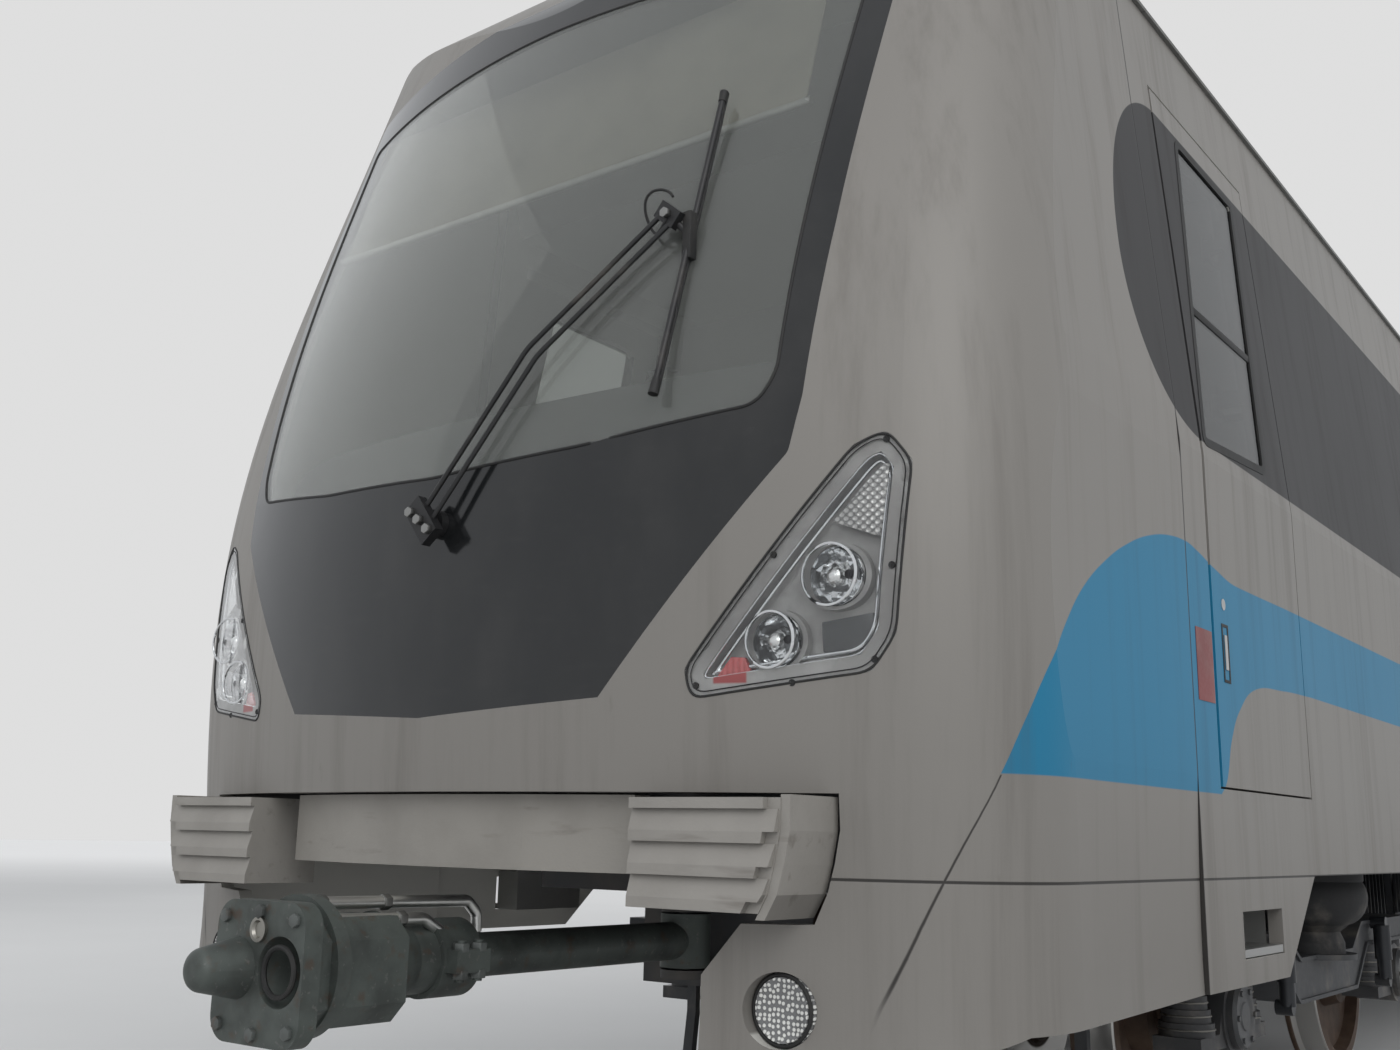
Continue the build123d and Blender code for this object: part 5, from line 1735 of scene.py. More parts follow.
@dataclass
class CabDoors:
    """Window rubbers, transoms, handles and edge seals of the two hinged cab doors.

    Attributes:
        window: Corners of the window, as station and height.
        transom_z: Height of the bar across the window.
    """

    window: tuple = ((-8.097, 2.054), (-7.934, 3.042), (-7.420, 3.034), (-7.528, 2.095))
    transom_z: float = 2.470

    def on_skin(self, y: float, z: float, proud: float = 0.0) -> Vector:
        """A place on the outer skin of the right side."""
        return up(side_x(z) + proud, y, z)

    def window_rubber(self, side: Side) -> None:
        """Flat rubber frame round the slanted window.

        Args:
            side: Side of the car.
        """
        corners = rounded([(y, z) for y, z in self.window], 0.045)
        outer = [(y + (0.018 if y > -7.76 else -0.018), z + (0.018 if z > 2.5 else -0.018)) for y, z in corners]
        spots = [self.on_skin(y, z, 0.0015) for y, z in outer]
        ring = Piece.plate("door_window_rubber", spots, Vector((-0.006, 0, 0)))
        ring.pick(lambda spot, normal: abs(normal.x) > 0.9).inset(0.026).opened().bridged()
        ring.copied([side.placing]).rubber(side.cab_door)

    def fittings(self, side: Side) -> None:
        """Transom, handle slot, lever, lock and inner grip.

        Args:
            side: Side of the car.
        """
        z = self.transom_z
        low, high = self.on_skin(-8.02, z - 0.012, -0.010), self.on_skin(-7.46, z + 0.012, 0.001)
        bar = Piece.box("door_transom", low, high)
        bar.softened(0.003).copied([side.placing]).rubber(side.cab_door)
        low, high = self.on_skin(-8.062, 1.385, -0.004), self.on_skin(-8.008, 1.545, 0.0015)
        slot = Piece.box("door_handle_cup", low, high)
        slot.facing((1, 0, 0)).inset(0.008).inset(0.001, -0.004)
        slot.copied([side.placing]).done(side.cab_door, "stainless", Brushed((0.05, 0.05, 0.05), roughness=0.5))
        lever = Piece.box("door_lever", self.on_skin(-8.046, 1.42, 0.001), self.on_skin(-8.024, 1.515, 0.0015))
        lever.facing((1, 0, 0)).extruded(Vector((0.0012, 0, 0)))
        lever.copied([side.placing]).steel(side.cab_door)
        low, high = self.on_skin(-8.035, 1.60, -0.004), self.on_skin(-8.035, 1.60, 0.0015)
        lock = Piece.rod("door_lock", 0.016, low, high, 20)
        lock.facing((1, 0, 0)).inset(0.005).inset(0.002, -0.001)
        lock.copied([side.placing]).steel(side.cab_door)
        run = ((0.0, 1.50), (0.045, 1.52), (0.045, 1.88), (0.0, 1.90))
        grip = Piece.tube("door_inner_grip", [up(side_x(z, 0.045) - d, -7.95, z) for d, z in run], 0.009)
        grip.copied([side.placing]).steel(side.cab_door)

    def edge_seal(self, side: Side) -> None:
        """Rubber strips round the leaf, just inside its gap.

        Args:
            side: Side of the car.
        """
        front, rear = -8.136, -7.278
        places = ((front, 1.11), (front, 2.0), (front, 3.138), (rear, 3.138), (rear, 2.0), (rear, 1.11))
        run = [up(side_x(z) - 0.012, y, z) for y, z in places]
        Piece.tube("door_edge_seal", run, 0.0042, True).copied([side.placing]).rubber(side.cab_door)

    def build(self) -> None:
        """Builds all of it on both doors."""
        for side in Side:
            self.window_rubber(side)
            self.fittings(side)
            self.edge_seal(side)
        cover = Piece.box("socket_cover", up(1.400, -8.279, 1.320), up(1.4014, -8.151, 1.510))
        cover.facing((1, 0, 0)).inset(0.006, 0.0003)
        cover.both().done("carbody", "body_paint", Plain((0.20, 0.030, 0.030), 0.45, 0.0, 90.0, 0.35))


@dataclass
class Saloon:
    """Rubbers, finger plates, treads and lamps at the windows and doorways of the passenger part.

    Attributes:
        doorways: Middle of each doorway along the car.
        bays: Middle of each fixed window.
        leaf_inset: Depth of the leaves' outer face behind the skin.
        leaf_len: Length of a leaf along the car.
    """

    doorways: tuple = (-4.1, -0.1, 3.9, 7.9)
    bays: tuple = (-2.1, 1.9, 5.9)
    leaf_inset: float = 0.039
    leaf_len: float = 0.666

    @property
    def doorway_places(self) -> list[Vector]:
        """Places of the doorways along the car."""
        return [Vector((0, y, 0)) for y in self.doorways]

    @staticmethod
    def ring(name: str, opening: Point, radius: float, inset: float, thick: float) -> Piece:
        """Tube round a rounded rectangle on the right skin, centred at station 0.

        Args:
            name: Piece name.
            opening: Half length, bottom and top of the rectangle.
            radius: Corner radius.
            inset: Depth behind the skin.
            thick: Radius of the tube.

        Returns:
            The ring.
        """
        half_y, low, high = opening
        corners = [(-half_y, low), (half_y, low), (half_y, high), (-half_y, high)]
        flat = rounded(corners, radius)
        return Piece.tube(name, [up(side_x(z, inset), y, z) for y, z in flat], thick, True)

    def windows(self) -> None:
        """Rubber seals round the fixed windows."""
        bays = [Vector((0, y, 0)) for y in self.bays]
        seal = self.ring("window_seals", (0.622, 2.070, 3.030), 0.062, 0.0, 0.008)
        seal.at(bays).both().rubber("carbody")
        inner = self.ring("window_seals_inner", (0.618, 2.074, 3.026), 0.060, 0.016, 0.007)
        inner.at(bays).both().rubber("carbody")

    def leaves(self) -> None:
        """Window rubbers, edge fingers and finger plates of the sliding leaves."""
        cup = Brushed((0.20, 0.20, 0.195), roughness=0.4)
        skin = 1.400 - self.leaf_inset
        for side in Side:
            for end in End:
                way, word = end.value, end.word
                body = f"doors_{side.value}_{word}"
                middle = way * (0.004 + self.leaf_len / 2)
                spots = [Vector((0, y + middle, 0)) for y in self.doorways]
                sink, opening = self.leaf_inset - 0.001, (0.220, 1.812, 2.708)
                ring = self.ring(f"leaf_window_seals_{word}", opening, 0.072, sink, 0.007)
                ring.at(spots).copied([side.placing]).rubber(body)
                run = [up(side_x(z, self.leaf_inset + 0.016), way * 0.0040, z) for z in (1.11, 2.0, 2.985)]
                edge = Piece.tube(f"leaf_edge_fingers_{word}", run, 0.0026)
                edge.at(self.doorway_places).copied([side.placing]).rubber(body)
                low, high = up(skin - 0.002, way * 0.055, 1.52), up(skin + 0.0012, way * 0.085, 1.72)
                plate = Piece.box(f"leaf_finger_cups_{word}", low, high)
                plate.facing((1, 0, 0)).inset(0.005).inset(0.001, -0.0008)
                plate.at(self.doorway_places).copied([side.placing]).done(body, "stainless", cup)

    def portals(self) -> None:
        """Rubber edges of the doorways, sill treads and lamps above them."""
        run = [up(side_x(z) - 0.003, -0.6505, z) for z in (1.104, 2.0, 2.947)]
        run += [up(side_x(z) - 0.003, 0.6505, z) for z in (2.947, 2.0, 1.104)]
        edge = Piece.tube("doorway_edges", run, 0.006)
        edge.at(self.doorway_places).both().rubber("carbody")
        tread = Piece.box("doorway_treads", up(1.292, -0.64, 1.1001), up(1.398, 0.64, 1.1025))
        grooves = []
        for index in range(7):
            x = 1.300 + index * 0.0135
            grooves.append(Piece.box("rib", up(x, -0.63, 1.1020), up(x + 0.006, 0.63, 1.1046)))
        tread.joined(*grooves)
        tread.at(self.doorway_places).both().steel("carbody")
        skin = side_x(3.12)
        lamp = Piece.rod("door_lamps", 0.030, up(skin - 0.004, 0, 3.12), up(skin + 0.0035, 0, 3.12), 24)
        lamp.facing((1, 0, 0)).inset(0.008).inset(0.003, 0.001)
        amber = Plain((0.50, 0.16, 0.02), 0.2, 0.0, 80.0, 0.05)
        lamp.at(self.doorway_places).both().done("carbody", "lamp_white", amber)

    def build(self) -> None:
        """Builds all of it."""
        self.windows()
        self.leaves()
        self.portals()


@dataclass
class CouplerFittings:
    """Bright air pipes and bolts of the front coupler, and nuts of the rear drawbar.

    Attributes:
        face_y: Front face of the coupler.
        height: Height of its axis above the rail.
        pipe_radius: Outer radius of the air pipes.
    """

    face_y: float = -10.05
    height: float = 0.66
    pipe_radius: float = 0.0142

    def spot(self, x: float, y: float, z: float) -> Vector:
        """A place from the face and axis, in millimetres."""
        return up(x / 1000, self.face_y + y / 1000, self.height + z / 1000)

    def bent(self, points: tuple, bend: float) -> list[Vector]:
        """Points of a pipe run with its corners rounded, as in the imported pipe.

        Args:
            points: Corners of the run.
            bend: Bend radius.

        Returns:
            Centre line of the pipe.
        """
        spots = [self.spot(*point) for point in points]
        out = [spots[0]]
        for back, here, ahead in zip(spots, spots[1:], spots[2:]):
            first, last = (back - here).normalized(), (ahead - here).normalized()
            angle = first.angle(last)
            reach = bend / 1000 / math.tan(angle / 2)
            start, end = here + first * reach, here + last * reach
            centre = here + (first + last).normalized() * (bend / 1000 / math.sin(angle / 2))
            for step in range(9):
                ray = (start - centre).normalized().slerp((end - centre).normalized(), step / 8)
                out.append(centre + ray * bend / 1000)
        return out + [spots[-1]]

    def pipes(self) -> None:
        """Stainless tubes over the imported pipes, with their unions."""
        runs = (
            ("air_pipe_main", ((0, 128, 131.8), (0, 585, 128), (0, 618, 98), (0, 620, 55)), 24),
            ("air_pipe_release", ((44, 131, 98), (44, 410, 94), (44, 520, 30), (44, 545, 24)), 45),
        )
        bright = Brushed((0.68, 0.68, 0.66), roughness=0.26)
        for name, points, bend in runs:
            pipe = Piece.tube(name, self.bent(points, bend), self.pipe_radius, False, 4)
            pipe.done("front_coupler", "stainless", bright)
        nuts = Piece.rod("pipe_unions", 0.019, Vector((0, -0.011, 0)), Vector((0, 0.011, 0)), 6).softened(0.002)
        spots = ((0, 150, 131.6), (44, 152, 97.8), (0, 330, 130.0), (44, 340, 95.0))
        nuts.at([self.spot(*spot) for spot in spots])
        nuts.done("front_coupler", "coupler_iron", Brushed((0.22, 0.22, 0.21), roughness=0.4))

    def bolts(self) -> None:
        """Hexagon bolts of face plate, clamp and drawbar flange."""
        iron = GreasyIron((0.11, 0.12, 0.115))
        head = Piece.rod("coupler_face_bolts", 0.015, Vector((0, 0.004, 0)), Vector((0, -0.010, 0)), 6)
        spots = ((-118, 105), (118, 105), (-118, -115), (118, -115), (0, 118), (0, -128))
        head.softened(0.0018).at([self.spot(x, 0, z) for x, z in spots])
        head.done("front_coupler", "coupler_iron", iron)
        nut = Piece.rod("coupler_clamp_nuts", 0.020, Vector((0, 0, 0.020)), Vector((0, 0, 0.040)), 6)
        nut.softened(0.002)
        low = Piece.rod("low", 0.020, Vector((0, 0, -0.020)), Vector((0, 0, -0.040)), 6).softened(0.002)
        nut.joined(low).at([self.spot(x, y, 0) for x in (-108, 108) for y in (472, 528)])
        nut.done("front_coupler", "coupler_iron", iron)
        ring = Piece.hoop("coupler_seal_ring", 0.050, 0.006, self.spot(72, 1, 0), Vector((0, 1, 0)))
        ring.copied([Matrix.Identity(4)]).rubber("front_coupler")
        valve = Piece.rod("coupler_air_port", 0.026, self.spot(0, 4, 82), self.spot(0, -8, 82), 24)
        valve.facing((0, -1, 0)).inset(0.007).inset(0.004, -0.006)
        valve.done("front_coupler", "stainless", Brushed((0.32, 0.31, 0.28)))
        stud = Piece.rod("drawbar_nuts", 0.022, Vector((0, -0.016, 0)), Vector((0, 0.0, 0)), 6).softened(0.002)
        places = []
        for index in range(6):
            angle = 2 * math.pi * index / 6 + math.pi / 6
            places.append(up(0.085 * math.cos(angle), 10.120, 0.66 + 0.085 * math.sin(angle)))
        stud.at(places).done("rear_drawbar", "coupler_iron", iron)

    def build(self) -> None:
        """Builds all of it."""
        self.pipes()
        self.bolts()


@dataclass
class RoofFittings:
    """Grilles, lifting lugs and ribs on the roof and its two units.

    Attributes:
        units: Middle of each roof unit along the car.
        top: Top of the units.
    """

    units: tuple = (-4.6, 4.6)
    top: float = 3.80

    def build(self) -> None:
        """Fan guards, lugs, cover screws and roof ribs."""
        fans = [Vector((0, y + way * 0.62, 0)) for y in self.units for way in (-1, 1)]
        hub, axis = up(0, 0, self.top - 0.003), Vector((0, 0, 1))
        guard = Piece.hoop("fan_guards", 0.315, 0.005, hub, axis, 48)
        rings = [Piece.hoop("ring", radius, 0.0035, hub, axis, 40) for radius in (0.12, 0.17, 0.22, 0.27)]
        spokes = []
        for index in range(4):
            ray = Vector((math.cos(math.pi * index / 4), math.sin(math.pi * index / 4), 0)) * 0.315
            spokes.append(Piece.rod("spoke", 0.0035, hub - ray, hub + ray, 8))
        guard.joined(*rings, *spokes).at(fans)
        guard.done("carbody", "stainless", Brushed((0.30, 0.30, 0.29), roughness=0.42))
        blade = Piece.box("fan_blades", up(0.06, -0.045, self.top - 0.082), up(0.29, 0.045, self.top - 0.076))
        blade.copied([Matrix.Rotation(2 * math.pi * index / 5, 4, "Z") for index in range(5)]).at(fans)
        blade.done("carbody", "equipment_paint", Plain((0.03, 0.03, 0.032), 0.5))
        lug = Piece.box("lifting_lugs", up(0.72, -0.05, self.top - 0.085), up(0.735, 0.05, self.top - 0.02))
        spots = [Vector((0, y + end, 0)) for y in self.units for end in (-1.5, -0.05, 1.5)]
        lug.softened(0.006).at(spots).both().done("carbody", "roof_paint", Plain((0.20, 0.20, 0.19), 0.5))
        z = self.top - 0.30
        screw = Piece.rod("cover_screws", 0.009, up(0.775, 0, z), up(0.804, 0, z), 6)
        places = [Vector((0, y + step * 0.24 - 1.56, 0)) for y in self.units for step in range(14)]
        screw.at(places).both().done("carbody", "stainless", Brushed((0.35, 0.35, 0.34)))
        across = [-1.05 + 0.105 * index for index in range(21)]
        arch = [up(x, 0, 3.665 - 0.1135 * (x / 1.09) ** 2 - 0.0005) for x in across]
        rib = Piece.tube("roof_ribs", arch, 0.006)
        rows = [-8.0 + 0.6 * index for index in range(30)]
        clear = [y for y in rows if y < 9.6 and all(abs(y - unit) > 1.74 for unit in self.units)]
        rib.at([Vector((0, y, 0)) for y in clear]).done("carbody", "roof_paint", RoofPaint())


@dataclass
class Interior:
    """Cab screens and controls, light covers, ceiling vents and the partition door's pane.

    Attributes:
        rows: Rows of push buttons on the desk.
        columns: Buttons in a row.
        first_row_y: Place of the first row along the car.
    """

    rows: int = 2
    columns: int = 9
    first_row_y: float = -9.06

    def screens(self) -> None:
        """Three screens in their bezels on the cowl's rear slope."""
        middle = Matrix.Translation(up(0, -9.24, 1.91))
        lean = middle @ Matrix.Rotation(math.radians(-24), 4, "X") @ middle.inverted()
        moves = [Matrix.Translation((x, 0, 0)) @ lean for x in (-0.40, 0.0, 0.40)]
        bezel = Piece.box("screen_bezels", up(-0.165, -9.232, 1.845), up(0.165, -9.214, 1.998)).softened(0.004)
        bezel.copied(moves).done("carbody", "desk_grey", Plain((0.02, 0.02, 0.022), 0.35))
        face = Piece.box("screen_faces", up(-0.150, -9.2135, 1.858), up(0.150, -9.2125, 1.985))
        face.copied(moves).done("carbody", "black_panel", Glow((0.02, 0.05, 0.07), 0.25, 30.0))

    def controls(self) -> None:
        """Lever and push buttons on the desk top."""
        base = Piece.box("lever_base", up(0.30, -9.02, 1.785), up(0.42, -8.90, 1.800)).softened(0.006)
        stick = Piece.rod("stick", 0.008, up(0.36, -8.96, 1.795), up(0.36, -8.975, 1.90), 16)
        knob = Piece.ball("knob", 0.021, up(0.36, -8.976, 1.91), 20, 12)
        base.joined(stick, knob).done("carbody", "desk_grey", Plain((0.03, 0.03, 0.033), 0.35))
        button = Piece.rod("desk_buttons", 0.012, up(0, 0, -0.006), up(0, 0, 0.011), 16).softened(0.002)
        places = []
        for row in range(self.rows):
            y = self.first_row_y + row * 0.055
            for column in range(self.columns):
                places.append(Vector((-0.46 + column * 0.075, y, 1.803 - 0.0925 * (y + 9.14))))
        button.at(places).done("carbody", "desk_grey", Plain((0.36, 0.045, 0.035), 0.3))

    def lights(self) -> None:
        """Diffuser covers in the ceiling's channels, and the grilles between them."""
        cover = Piece.box("light_covers", up(0.384, -6.92, 3.203), up(0.556, 9.44, 3.214))
        cover.both().done("carbody", "lamp_white", Glow((0.80, 0.82, 0.80), 1.1, 6.0))
        vent = Piece.box("ceiling_vents", up(-0.30, -6.9, 3.189), up(0.30, 9.4, 3.1985))
        vent.facing((0, 0, -1)).inset(0.02, 0.0).inset(0.004, -0.003)
        slats = []
        for index in range(10):
            x = -0.27 + index * 0.06
            slats.append(Piece.box("slat", up(x, -6.86, 3.1865), up(x + 0.015, 9.36, 3.1895)))
        vent.joined(*slats).done("carbody", "interior_panel", Plain((0.50, 0.50, 0.48), 0.45))

    def door_pane(self) -> None:
        """Tinted pane, rubber rims and lever of the door behind the driver."""
        pane = Piece.box("inner_door_pane", up(-0.183, -7.158, 2.297), up(0.183, -7.152, 2.803))
        pane.done("cab_inner_door", "tinted_glass", Glass((0.14, 0.15, 0.145)))
        edge = rounded([(-0.181, 2.299), (0.181, 2.299), (0.181, 2.801), (-0.181, 2.801)], 0.006, 2)
        rim = Piece.tube("inner_door_rims", [up(x, -7.1745, z) for x, z in edge], 0.006, True)
        rim.at([Vector((0, 0, 0)), Vector((0, 0.039, 0))]).rubber("cab_inner_door")
        lever = Piece.rod("inner_door_lever", 0.009, up(0.305, -7.196, 2.10), up(0.195, -7.196, 2.10), 14)
        plate = Piece.box("plate", up(0.280, -7.1765, 2.03), up(0.318, -7.1735, 2.17)).softened(0.001)
        lever.joined(plate, Piece.rod("spindle", 0.010, up(0.298, -7.175, 2.10), up(0.298, -7.198, 2.10), 14))
        lever.steel("cab_inner_door")

    def build(self) -> None:
        """Builds all of it."""
        self.screens()
        self.controls()
        self.lights()
        self.door_pane()


@dataclass
class SoftSeat:
    """Upholstered cushion, backrest and headrest of the driver's seat, swollen by a cloth simulation.

    Attributes:
        seat_y: Seat centre along the car.
        pan: Top of the seat pan above the rail.
    """

    seat_y: float = -8.19
    pan: float = 1.54

    def places(self) -> list[tuple[str, Vector, Matrix]]:
        """Name, size and placing of each of the three cushions."""
        lean = Matrix.Rotation(math.radians(-8), 4, "X")
        recline = Matrix.Translation(up(0, self.seat_y + 0.222, self.pan + 0.06)) @ lean
        level = Matrix.Translation(up(0, self.seat_y - 0.02, self.pan + 0.0475))
        return [
            ("seat_cushion", Vector((0.47, 0.42, 0.095)), level),
            ("seat_backrest", Vector((0.45, 0.084, 0.56)), recline @ Matrix.Translation((0, 0, 0.330))),
            ("seat_headrest", Vector((0.27, 0.070, 0.15)), recline @ Matrix.Translation((0, 0.006, 0.710))),
        ]

    def swell(self, piece: Piece, limit: float) -> None:
        """Blows the cover up and lets it settle, no point moving further than a limit.

        Args:
            piece: Remeshed start shape.
            limit: Furthest move of a point in metres.
        """
        obj = piece.obj
        start = [vertex.co.copy() for vertex in obj.data.vertices]
        cloth = obj.modifiers.new("cloth", "CLOTH")
        cloth.settings.use_pressure = True
        cloth.settings.uniform_pressure_force = 4.0
        cloth.settings.mass = 0.4
        cloth.settings.tension_stiffness = 12.0
        cloth.settings.compression_stiffness = 12.0
        cloth.settings.bending_stiffness = 0.6
        cloth.settings.effector_weights.gravity = 0.0
        cloth.collision_settings.use_self_collision = False
        scene = bpy.context.scene
        for number in range(1, 21):
            scene.frame_set(number)
        piece.applied(cloth)
        for vertex, spot in zip(obj.data.vertices, start):
            move = vertex.co - spot
            if move.length > limit:
                vertex.co = spot + move.normalized() * limit

    def piping(self, cushion: Piece, size: Vector, place: Matrix) -> Piece:
        """Sewn piping that lies on a cushion round its front edge.

        Args:
            cushion: Finished cushion, still at the origin.
            size: Space of the cushion.
            place: Its placing in the cab.

        Returns:
            The piping in its place.
        """
        flat = size.y > size.z
        half = Vector((size.x, size.y if flat else size.z)) / 2 - Vector((0.020, 0.020))
        corners = [(-half.x, -half.y), (half.x, -half.y), (half.x, half.y), (-half.x, half.y)]
        depth = size.z / 2 - 0.006 if flat else 0.006 - size.y / 2
        loop = []
        for x, y in dense(rounded(corners, 0.040, 8), 0.012):
            probe = Vector((x, y, depth)) if flat else Vector((x, depth, y))
            loop.append(place @ cushion.obj.closest_point_on_mesh(probe)[1])
        return Piece.tube(f"{cushion.obj.name}_piping", loop, 0.0030, True)

    def build(self) -> None:
        """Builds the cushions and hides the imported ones."""
        cloth = Weave()
        cord = Plain((0.012, 0.014, 0.020), 0.7, 0.0, 300.0, 0.05)
        for name, size, place in self.places():
            inner = size - Vector((0.030, 0.026, 0.026))
            piece = Piece.box(name, -inner / 2, inner / 2).softened(0.016, 3)
            remesh = piece.obj.modifiers.new("remesh", "REMESH")
            remesh.mode = "VOXEL"
            remesh.voxel_size = 0.0055
            piece.applied(remesh)
            self.swell(piece, 0.013)
            smooth = piece.obj.modifiers.new("smooth", "SMOOTH")
            smooth.iterations = 4
            piece.applied(smooth)
            for vertex in piece.obj.data.vertices:
                for axis in range(3):
                    vertex.co[axis] = max(-size[axis] / 2 + 0.001, min(size[axis] / 2 - 0.001, vertex.co[axis]))
            self.piping(piece, size, place).done("carbody", "seat_fabric", cord)
            piece.copied([place])
            obj = piece.done("carbody", "seat_fabric", cloth, 180.0)
        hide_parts("driver_seat_cushions")


@dataclass
class Bogie:
    """Covers, bolts, dampers and pipes of one bogie.

    Attributes:
        centre: Its middle along the car.
        body: Its body.
        half_base: Half the wheelbase.
        axle_z: Height of the axles above the rail.
    """

    centre: float
    body: str
    half_base: float = 1.15
    axle_z: float = 0.42

    def axlebox_covers(self) -> None:
        """Ribbed end covers with a ring of bolts."""
        near, far = up(1.0815, 0, self.axle_z), up(1.094, 0, self.axle_z)
        cover = Piece.rod(f"axle_covers_{self.body}", 0.100, near, far, 36, 0.094)
        cover.facing((1, 0, 0)).inset(0.022, 0.0).inset(0.006, -0.004).inset(0.020, 0.0).inset(0.004, 0.004)
        bolts = []
        for index in range(6):
            angle = math.pi * index / 3
            y, z = 0.083 * math.cos(angle), self.axle_z + 0.083 * math.sin(angle)
            bolts.append(Piece.rod("bolt", 0.0095, up(1.090, y, z), up(1.101, y, z), 6))
        cover.joined(*bolts)
        cover.at([Vector((0, self.centre + way * self.half_base, 0)) for way in (-1, 1)]).both()
        cover.done(self.body, "bogie_paint", Plain((0.075, 0.077, 0.080), 0.5, 0.2, 60.0, 0.5))

    def spring_rings(self) -> None:
        """Steel rings between the rubber layers of the conical springs."""
        hoops = []
        for radius, height in ((0.0862, 0.375), (0.0762, 0.415), (0.0672, 0.455), (0.0592, 0.495)):
            middle = up(0.98, 0, height + 0.020)
            hoops.append(Piece.hoop("ring", radius - 0.001, 0.0034, middle, Vector((0, 0, 1)), 28))
        hoops[0].obj.name = f"spring_rings_{self.body}"
        hoops[0].joined(*hoops[1:])
        along = [self.centre + way * self.half_base + side * 0.235 for way in (-1, 1) for side in (-1, 1)]
        spots = [Vector((0, y, 0)) for y in along]
        hoops[0].at(spots).both().done(self.body, "bogie_paint", Brushed((0.24, 0.23, 0.21), roughness=0.45))

    def dampers(self) -> None:
        """Upright dampers beside the axleboxes, with rubber-bushed eyes."""
        rows = []
        for way in (-1, 1):
            y = self.centre + way * (self.half_base - 0.42)
            low = Piece.rod(f"dampers_{self.body}", 0.028, up(1.108, y, 0.42), up(1.108, y, 0.55), 20)
            low.joined(
                Piece.rod("tube", 0.034, up(1.108, y, 0.50), up(1.108, y, 0.64), 20),
                Piece.rod("eye_low", 0.026, up(1.070, y, 0.415), up(1.128, y, 0.415), 16),
                Piece.rod("eye_high", 0.026, up(1.066, y, 0.650), up(1.128, y, 0.650), 16),
            )
            rows.append(low)
        rows[0].joined(rows[1])
        rows[0].both().done(self.body, "bogie_paint", Plain((0.028, 0.030, 0.034), 0.35, 0.3, 60.0, 0.4))

    def brake_hoses(self) -> None:
        """Air pipes along the transoms and down to the callipers."""
        for way in (-1, 1):
            near = self.centre + way * 0.262
            points = [up(0.86, near, 0.50), up(0.45, near, 0.50)]
            points += [up(0.345, self.centre + way * 0.30, 0.528), up(0.33, self.centre + way * 0.62, 0.532)]
            hose = Piece.tube(f"brake_pipe_{self.body}_{'a' if way < 0 else 'b'}", points, 0.008)
            hose.both().rubber(self.body)

    def build(self) -> None:
        """Builds all of it."""
        self.axlebox_covers()
        self.spring_rings()
        self.dampers()
        self.brake_hoses()


@dataclass
class Underfloor:
    """Latches of the underfloor cases and drain cocks of the air tanks."""

    def latches(self) -> None:
        """Latches on the lids of the battery and inverter cases."""
        latch = Piece.box("case_latches", Vector((0, -0.022, -0.014)), Vector((0.014, 0.022, 0.014)))
        latch.softened(0.003)
        handle = Piece.rod("handle", 0.005, Vector((0.016, -0.016, 0)), Vector((0.016, 0.016, 0)), 10)
        latch.joined(handle)
        places, turned = [], Matrix.Rotation(math.pi, 4, "Z")
        for y in (1.42, 1.80, 2.20, 2.58):
            places.append(Matrix.Translation(up(1.125, y, 0.565)))
            places.append(Matrix.Translation(up(-1.125, y, 0.565)) @ turned)
        for y in (-2.35, -1.75, -1.40, -0.90, -0.45, 0.05):
            places.append(Matrix.Translation(up(-1.125, y, 0.54)) @ turned)
        latch.copied(places).done("carbody", "stainless", Brushed((0.33, 0.33, 0.32), roughness=0.4))

    def valves(self) -> None:
        """Drain cocks of the air tanks."""
        cock = Piece.rod("drain_cocks", 0.012, up(0, 0.25, 0.552), up(0, 0.25, 0.520), 12)
        tap = Piece.box("tap", up(-0.028, 0.244, 0.523), up(0.028, 0.256, 0.531)).softened(0.002)
        cock.joined(tap).at([Vector((0.63, 0, 0)), Vector((1.03, 0, 0))])
        cock.done("carbody", "stainless", Brushed((0.40, 0.32, 0.18), roughness=0.38))

    def build(self) -> None:
        """Builds all of it."""
        self.latches()
        self.valves()


SLOT_FINISH: dict[str, Finish] = {
    "body_paint": BodyPaint(),
    "black_panel": GlossPanel(),
    "tinted_glass": Glass((0.30, 0.315, 0.31), bend=1.30),
    "clear_lens": Glass((0.94, 0.95, 0.95)),
    "lamp_reflector": LampTray(),
    "lamp_white": LedFace(),
    "anti_climber_paint": ScuffedPaint(),
    "rubber_black": RUBBER,
    "interior_panel": Plain((0.50, 0.49, 0.455), 0.5, 0.0, 120.0, 0.06, clouds=0.10),
    "desk_grey": Plain((0.085, 0.088, 0.094), 0.45, 0.0, 260.0, 0.2, 0.0004),
    "seat_fabric": Weave(),
    "seat_metal": Plain((0.035, 0.036, 0.040), 0.42, 0.3, 120.0, 0.25),
    "bench_shell": Plain((0.035, 0.16, 0.26), 0.32, 0.0, 90.0, 0.1, 0.0002),
    "stainless": STEEL,
    "underframe_paint": Chassis(),
    "equipment_paint": Plain((0.072, 0.075, 0.080), 0.5, 0.15, 50.0, 0.5),
    "roof_paint": RoofPaint(),
    "bogie_paint": Plain((0.060, 0.062, 0.066), 0.55, 0.15, 45.0, 0.6),
    "wheel_steel": RolledWheel(),
    "coupler_iron": GreasyIron(),
}
